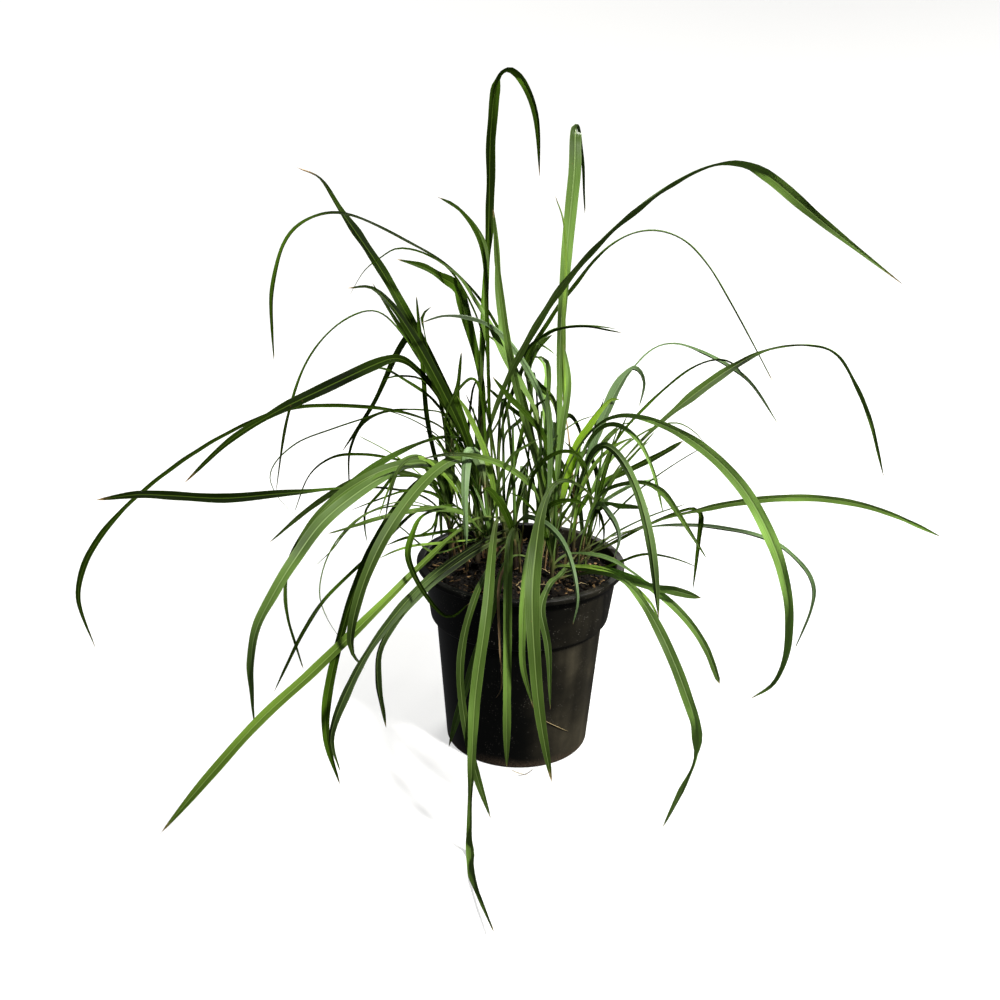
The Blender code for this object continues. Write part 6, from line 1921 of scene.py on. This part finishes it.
@dataclass
class NurseryPot:
    """The round moulded pot with a rolled lip and a wider band under it.

    Attributes:
        sides: Steps around.
        wall: Thickness of the wall.
        floor: Thickness of the floor.
        band_foot: Height of the ledge under the band.
        base: Outer radius at the base.
        body_top: Outer radius of the body under the ledge.
        ledge: Outer radius of the band's foot.
        band_top: Outer radius of the band under the lip.
        lip_under: Height of the lip's underside.
        drains: Number of drain holes.
        drain: Radius of a drain hole.
        drain_reach: Distance of a drain hole from the pot's axis.
        drain_turn: How far the drain holes are turned, in radians.
    """

    sides: int = 168
    wall: float = 0.0018
    floor: float = 0.0026
    band_foot: float = 0.1270
    base: float = 0.0668
    body_top: float = 0.0768
    ledge: float = 0.0820
    band_top: float = 0.0886
    lip_under: float = 0.1744
    drains: int = 6
    drain: float = 0.0045
    drain_reach: float = 0.046
    drain_turn: float = 0.037

    def outline(self, lip: float, top: float) -> list[Station]:
        """Give the pot's cut with how far each corner is rounded.

        Args:
            lip: Outer radius of the lip.
            top: Height of the lip.

        Returns:
            Radius, height and rounding of each corner, outside up and inside down.
        """
        return [
            (0.0, 0.0, 0.0),
            (self.base, 0.0, 0.0022),
            (self.body_top, self.band_foot - 0.0034, 0.0006),
            (self.body_top + 0.0010, self.band_foot - 0.0020, 0.0006),
            (self.ledge, self.band_foot, 0.0010),
            (self.ledge + 0.0004, self.band_foot + 0.0022, 0.0006),
            (self.band_top, self.lip_under - 0.0006, 0.0008),
            (lip - 0.0004, self.lip_under, 0.0009),
            (lip, top, 0.0016),
            (self.band_top - 0.0012, top, 0.0012),
            (self.band_top - self.wall, top - 0.0030, 0.0010),
            (self.ledge - self.wall, self.band_foot + 0.0030, 0.0012),
            (self.body_top - self.wall, self.band_foot - 0.0012, 0.0012),
            (self.base - self.wall, self.floor, 0.0014),
            (0.0, self.floor, 0.0),
        ]

    @staticmethod
    def rounded(outline: Sequence[Station], steps: int = 5) -> list[np.ndarray]:
        """Round the corners of a cut.

        Args:
            outline: Radius, height and rounding of each corner.
            steps: Points on each round corner, less one.

        Returns:
            Radius and height of each point.
        """
        points = [np.array(row[:2]) for row in outline]
        smooth = [points[0]]
        for before, here, after, row in zip(points, points[1:], points[2:], outline[1:]):
            back = before - here
            on = after - here
            size = min(row[2], 0.45 * np.linalg.norm(back), 0.45 * np.linalg.norm(on))
            start = here + back / np.linalg.norm(back) * size
            stop = here + on / np.linalg.norm(on) * size
            for k in range(steps + 1):
                t = k / steps
                smooth.append(start * (1 - t) ** 2 + here * 2 * t * (1 - t) + stop * t * t)
        smooth.append(points[-1])
        return smooth

    def build(self) -> None:
        """Turn the pot, cut its drain holes and dress it."""
        low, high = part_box("pot")
        outline = self.rounded(self.outline((high.x - low.x) / 2, high.z))
        work = bmesh.new()
        levels = []
        for radius, height in outline:
            if radius < 1e-6:
                levels.append([work.verts.new((0.0, 0.0, height))] * self.sides)
                continue
            levels.append([work.verts.new(spot) for spot in round_level(radius, height, self.sides)])
        for row, above in zip(levels, levels[1:]):
            for k in range(self.sides):
                n = (k + 1) % self.sides
                ring = dict.fromkeys((row[k], row[n], above[n], above[k]))
                work.faces.new(list(ring))
        mesh = bpy.data.meshes.new("nursery_pot")
        work.to_mesh(mesh)
        work.free()
        mesh = self.drained(mesh)
        mesh.shade_smooth()
        mesh.set_sharp_from_angle(angle=math.radians(40.0))
        mesh.materials.clear()
        mesh.materials.append(PotFinish().material())
        piece = settled(mesh)
        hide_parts("pot")

    def drained(self, mesh: bpy.types.Mesh) -> bpy.types.Mesh:
        """Cut round drain holes in the floor.

        Args:
            mesh: The turned pot.

        Returns:
            The pot with its holes.
        """
        whole = bpy.data.objects.new("whole_pot", mesh)
        bpy.context.scene.collection.objects.link(whole)
        drills = bmesh.new()
        for k in range(self.drains):
            angle = math.tau * (k + 0.5) / self.drains + self.drain_turn
            spot = (self.drain_reach * math.cos(angle), self.drain_reach * math.sin(angle), 0.0)
            bmesh.ops.create_cone(
                drills, cap_ends=True, segments=28, radius1=self.drain, radius2=self.drain,
                depth=4 * self.floor, matrix=Matrix.Translation(spot),
            )
        cutter_mesh = bpy.data.meshes.new("drill")
        drills.to_mesh(cutter_mesh)
        drills.free()
        cutter = bpy.data.objects.new("drill", cutter_mesh)
        bpy.context.scene.collection.objects.link(cutter)
        cut = whole.modifiers.new("Drain", "BOOLEAN")
        cut.operation = "DIFFERENCE"
        cut.solver = "EXACT"
        cut.object = cutter
        view = bpy.context.evaluated_depsgraph_get()
        made = bpy.data.meshes.new_from_object(whole.evaluated_get(view))
        for thing in (whole, cutter):
            data = thing.data
            bpy.data.objects.remove(thing)
            bpy.data.meshes.remove(data)
        made.name = "nursery_pot"
        return made


# Least and most of half a chip's length, width and thickness, in millimetres.
CHIP_SPANS = ((1.2, 4.2), (0.5, 1.3), (0.25, 0.6))
# Straws on the pot's wall and at its foot: for either end the degrees around the pot, the
# distance from its axis and the height, and then how far the middle is pushed outwards.
STRAYS = (
    ((-71.0, 0.0716, 0.0520), (-47.5, 0.0700, 0.0310), 0.0004),
    ((-93.0, 0.0700, 0.0006), (-82.0, 0.0780, 0.0006), 0.0010),
    ((-88.0, 0.0790, 0.0007), (-77.0, 0.0700, 0.0007), 0.0020),
)


@dataclass
class PottingMix:
    """The crumbly potting mix with bark chips and dry straw on it.

    Attributes:
        level: Height of its surface at the wall.
        edge: Outer radius of the surface.
        rise: Height of the mound under the clump.
        middle: Middle of the mound.
        spread: How far the mound spreads across and away from the viewer.
        swell: Features a metre and height of the large swells.
        lumps: The same for lumps.
        grit: The same for fine grit.
        crumbs: Number of crumbs.
        chips: Number of chips.
        straws: Number of dry bits of leaf.
        rings: Rings of corners on its surface.
        sides: Steps around.
        inside: Radius and height of its side under the band, from the top.
        foot: Radius of its foot.
        steps: Stretches of a straw.
        round: Steps around a straw.
    """

    level: float = 0.1622
    edge: float = 0.0852
    rise: float = 0.0050
    middle: tuple[float, float] = CLUMP_MIDDLE
    spread: tuple[float, float] = (0.075, 0.055)
    swell: tuple[float, float] = (46.0, 0.0016)
    lumps: tuple[float, float] = (210.0, 0.0026)
    grit: tuple[float, float] = (620.0, 0.0007)
    crumbs: int = 1500
    chips: int = 620
    straws: int = 26
    rings: int = 105
    sides: int = 360
    inside: tuple[tuple[float, float], ...] = ((0.0799, 0.1300), (0.0744, 0.1258))
    foot: float = 0.0642
    steps: int = 10
    round: int = 6

    def height(self, x: float, y: float) -> float:
        """Give the height of the crumbly surface.

        Args:
            x: Place across.
            y: Place away from the viewer.

        Returns:
            The height in metres.
        """
        off = zip((x, y), self.middle, self.spread)
        base = self.level + self.rise * math.exp(-sum(((a - b) / size) ** 2 for a, b, size in off))
        spot = Vector((x, y, 0.0))
        kinds = (self.swell, self.lumps, self.grit)
        swell, lumps, grit = (noise.noise(spot * scale) * depth for scale, depth in kinds)
        wall = max(0.0, math.hypot(x, y) / self.edge - 0.86) / 0.14
        return base + swell * (1 - wall) + abs(lumps) + grit + wall * wall * 0.0012

    def build(self) -> None:
        """Make the surface, the crumbs and chips, and the straw."""
        self.bed()
        self.litter()
        self.straw()

    def bed(self) -> None:
        """Make the body of the potting mix, which fills the pot."""
        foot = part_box("potting_mix")[0].z
        corners: list[Station] = [(0.0, 0.0, self.height(0.0, 0.0))]
        for ring in range(1, self.rings + 1):
            level = round_level(self.edge * (ring / self.rings) ** 0.85, 0.0, self.sides)
            corners.extend((x, y, self.height(x, y)) for x, y, _ in level)
        for radius, height in (*self.inside, (self.foot, foot)):
            corners.extend(round_level(radius, height, self.sides))
        corners.append((0.0, 0.0, foot))
        faces: Faces = [(0, 1 + k, 1 + (k + 1) % self.sides) for k in range(self.sides)]
        levels = self.rings + len(self.inside) + 1
        faces += bands(1, levels, self.sides)
        last = 1 + (levels - 1) * self.sides
        faces += [(last + (k + 1) % self.sides, last + k, len(corners) - 1) for k in range(self.sides)]
        piece = moulded("soil_bed", corners, faces, SoilFinish().material(), 60.0)
        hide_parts("potting_mix")

    @staticmethod
    def taken(work: bmesh.types.BMesh) -> tuple[list[Vector], Faces]:
        """Take the corners and faces out of a form and free it.

        Args:
            work: The form.

        Returns:
            Its corners and its faces.
        """
        work.verts.index_update()
        corners = [vertex.co.copy() for vertex in work.verts]
        faces = [tuple(vertex.index for vertex in face.verts) for face in work.faces]
        work.free()
        return corners, faces

    def litter(self) -> None:
        """Scatter crumbs and chips over the surface and a few at the pot's foot."""
        dice = random.Random("bark")
        work = bmesh.new()
        bmesh.ops.create_icosphere(work, subdivisions=2, radius=1.0)
        crumb = self.taken(work)
        work = bmesh.new()
        bmesh.ops.create_cube(work, size=2.0)
        bmesh.ops.bevel(work, geom=work.edges[:], offset=0.35, segments=1, affect="EDGES")
        bmesh.ops.triangulate(work, faces=work.faces[:])
        chip = self.taken(work)
        corners: list[Station] = []
        faces: Faces = []
        shades: list[float] = []
        for index in range(self.crumbs + self.chips):
            is_chip = index >= self.crumbs
            shape, sheets = chip if is_chip else crumb
            radius = self.edge * 0.985 * math.sqrt(dice.random())
            angle = dice.uniform(0.0, math.tau)
            x, y = radius * math.cos(angle), radius * math.sin(angle)
            if is_chip:
                size = Vector([dice.uniform(*span) for span in CHIP_SPANS]) * MM
                tilt = Matrix.Rotation(dice.gauss(0.0, 0.35), 3, "X") @ Matrix.Rotation(
                    dice.gauss(0.0, 0.30), 3, "Y"
                )
                shade = dice.uniform(0.35, 1.0) ** 0.9
            else:
                grow = dice.uniform(0.5, 1.9) * (1.5 if dice.random() < 0.08 else 1.0)
                size = Vector((grow, grow * dice.uniform(0.6, 1.0), grow * dice.uniform(0.5, 0.9))) * MM
                tilt = Matrix.Identity(3)
                shade = dice.uniform(0.0, 0.72)
            turn = Matrix.Rotation(dice.uniform(0.0, math.tau), 3, "Z") @ tilt
            base = Vector((x, y, self.height(x, y) + size.z * 0.45))
            start = len(corners)
            for co in shape:
                rough = 1 + 0.5 * noise.noise(co * 1.3 + Vector((index, 0, 0)))
                part = Vector((co.x * size.x, co.y * size.y, co.z * size.z)) * rough
                corners.append(tuple(base + turn @ part))
            faces.extend(tuple(start + i for i in face) for face in sheets)
            shades.extend([shade] * len(shape))
        moulded("soil_litter", corners, faces, CRUMB_FINISH.material(), 48.0, shades)

    def stray(self, first: Station, last: Station, bulge: float) -> list[Vector]:
        """Run a straw from one place to another.

        Args:
            first: Degrees around the pot, distance from its axis and height.
            last: The same for its other end.
            bulge: How far its middle is pushed outwards.

        Returns:
            Its places.
        """
        points = []
        for k in range(self.steps + 1):
            angle, radius, height = (a + (b - a) * k / self.steps for a, b in zip(first, last))
            radius += bulge * math.sin(math.pi * k / self.steps)
            turn = math.radians(angle)
            points.append(Vector((radius * math.cos(turn), radius * math.sin(turn), height)))
        return points

    def straw(self) -> None:
        """Lay dry bits of leaf and root on the surface."""
        dice = random.Random("straw")
        corners: list[Station] = []
        faces: Faces = []
        shades: list[float] = []
        for index in range(self.straws):
            radius = self.edge * 0.93 * math.sqrt(dice.random())
            angle = dice.uniform(0.0, math.tau)
            spot = Vector((radius * math.cos(angle), radius * math.sin(angle), 0.0))
            heading = dice.uniform(0.0, math.tau)
            curl = dice.gauss(0.0, 32.0)
            length = dice.uniform(0.008, 0.024)
            thick = dice.uniform(0.20, 0.45) * MM
            points = []
            for k in range(self.steps + 1):
                edge = math.hypot(spot.x, spot.y)
                if edge > self.edge * 0.96:
                    spot *= self.edge * 0.96 / edge
                arch = 0.0022 * math.sin(math.pi * k / self.steps) * (0.5 + 0.5 * math.sin(index * 2.1))
                points.append(Vector((spot.x, spot.y, self.height(spot.x, spot.y) + 0.0009 + arch)))
                heading += curl * length / self.steps
                step = Vector((math.cos(heading), math.sin(heading), 0.0))
                spot = spot + step * (length / self.steps)
            if index < len(STRAYS):
                points = self.stray(*STRAYS[index])
            start = len(corners)
            last = start + self.steps * self.round
            for k, point in enumerate(points):
                ahead = (points[min(k + 1, self.steps)] - points[max(k - 1, 0)]).normalized()
                side = ahead.cross(Vector((0, 0, 1))).normalized()
                up = side.cross(ahead)
                slim = thick * (0.35 + 0.65 * math.sin(math.pi * (k + 0.6) / 11.2))
                for j in range(self.round):
                    a = math.tau * j / self.round
                    wide = side * math.cos(a) * slim * 1.5
                    corners.append(tuple(point + wide + up * math.sin(a) * slim * 0.6))
            faces += bands(start, self.steps + 1, self.round, (3, 0, 1, 2))
            faces.append(tuple(start + j for j in range(self.round)))
            faces.append(tuple(last + j for j in reversed(range(self.round))))
            shades.extend([dice.random()] * (len(corners) - start))
        moulded("soil_straw", corners, faces, STRAW_FINISH.material(), None, shades)


# Name, place, side in metres, power in watts and colour of each light.
LAMPS = (
    ("key", (1.5, -1.7, 2.7), 0.36, 250.0, (1.0, 0.985, 0.95)),
    ("side", (2.6, -0.4, 0.9), 0.9, 18.0, (1.0, 0.99, 0.95)),
    ("fill", (-2.0, -1.4, 1.6), 1.8, 6.0, (0.95, 0.98, 1.0)),
    ("back", (0.7, 2.0, 2.2), 1.2, 95.0, (1.0, 0.99, 0.95)),
)


@dataclass
class Studio:
    """A pale sweep with soft light around the plant.

    Attributes:
        reach: Radius of the level floor.
        bend: Radius of the curve that leads up from it.
        wall: Height of the sweep's rim.
        sides: Steps around.
        steps: Steps in the curve.
        paint: Colour of the sweep.
        glow: How strongly the sweep shines by itself.
        sky: Strength of the light from all round.
    """

    reach: float = 2.4
    bend: float = 0.9
    wall: float = 2.2
    sides: int = 96
    steps: int = 12
    paint: Colour = (0.40, 0.40, 0.397)
    glow: float = 0.62
    sky: float = 0.11

    def build(self) -> None:
        """Make the sweep, the lights and the world."""
        self.sweep()
        for name, place, size, power, colour in LAMPS:
            self.lamp(name, place, size, power, colour)
        scene = bpy.context.scene
        world = bpy.data.worlds.new("studio")
        world.use_nodes = True
        sky = world.node_tree.nodes["Background"]
        sky.inputs["Color"].default_value = (0.95, 0.97, 1.0, 1.0)
        sky.inputs["Strength"].default_value = self.sky
        scene.world = world
        scene.view_settings.view_transform = "Standard"

    def sweep(self) -> None:
        """Make a round level floor that curves up all round."""
        profile = [(self.reach * 0.5, 0.0), (self.reach, 0.0)]
        for k in range(1, self.steps + 1):
            angle = math.pi / 2 * k / self.steps
            out, rise = math.sin(angle), 1 - math.cos(angle)
            profile.append((self.reach + self.bend * out, self.bend * rise))
        profile.append((self.reach + self.bend, self.wall))
        corners = [spot for row in profile for spot in round_level(*row, self.sides)]
        middle = len(corners)
        corners.append((0.0, 0.0, 0.0))
        faces: Faces = [(middle, k, (k + 1) % self.sides) for k in range(self.sides)]
        faces += bands(0, len(profile), self.sides)
        mesh = bpy.data.meshes.new("pale_floor")
        mesh.from_pydata(corners, [], faces)
        mesh.shade_smooth()
        recipe = Recipe("pale_floor")
        cloud = recipe.noise(0.8, 2.0)
        skin = recipe.brighten(self.paint, 0.99 + cloud * 0.02)
        mesh.materials.append(recipe.close(recipe.surface(skin, 0.75, 0.1, glow=self.glow)))
        floor = bpy.data.objects.new("pale_floor", mesh)
        floor.visible_diffuse = False
        floor.visible_glossy = False
        bpy.context.scene.collection.objects.link(floor)

    @staticmethod
    def lamp(name: str, place: Station, size: float, power: float, colour: Colour) -> None:
        """Hang a square soft light that points at the plant.

        Args:
            name: Its name.
            place: Where it hangs.
            size: Its side in metres.
            power: Its power in watts.
            colour: Its colour.
        """
        data = bpy.data.lights.new(name, "AREA")
        data.size = size
        data.energy = power
        data.color = colour
        lamp = bpy.data.objects.new(name, data)
        lamp.location = place
        aim = Vector((0.0, 0.0, 0.25)) - Vector(place)
        lamp.rotation_euler = aim.to_track_quat("-Z", "Y").to_euler()
        bpy.context.scene.collection.objects.link(lamp)


def main() -> None:
    """Build every piece around the frame."""
    logging.basicConfig(level=logging.INFO, format="%(message)s")
    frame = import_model()
    view = Viewpoint()
    view.camera()
    Studio().build()
    wardrobe = Wardrobe()
    NurseryPot().build()
    PottingMix().build()
    for tuft in tufts():
        tuft.build(frame["nodes"][tuft.node], view, wardrobe)
    LongLeaves().build(frame["nodes"], view, wardrobe)


if __name__ == "__main__":
    main()
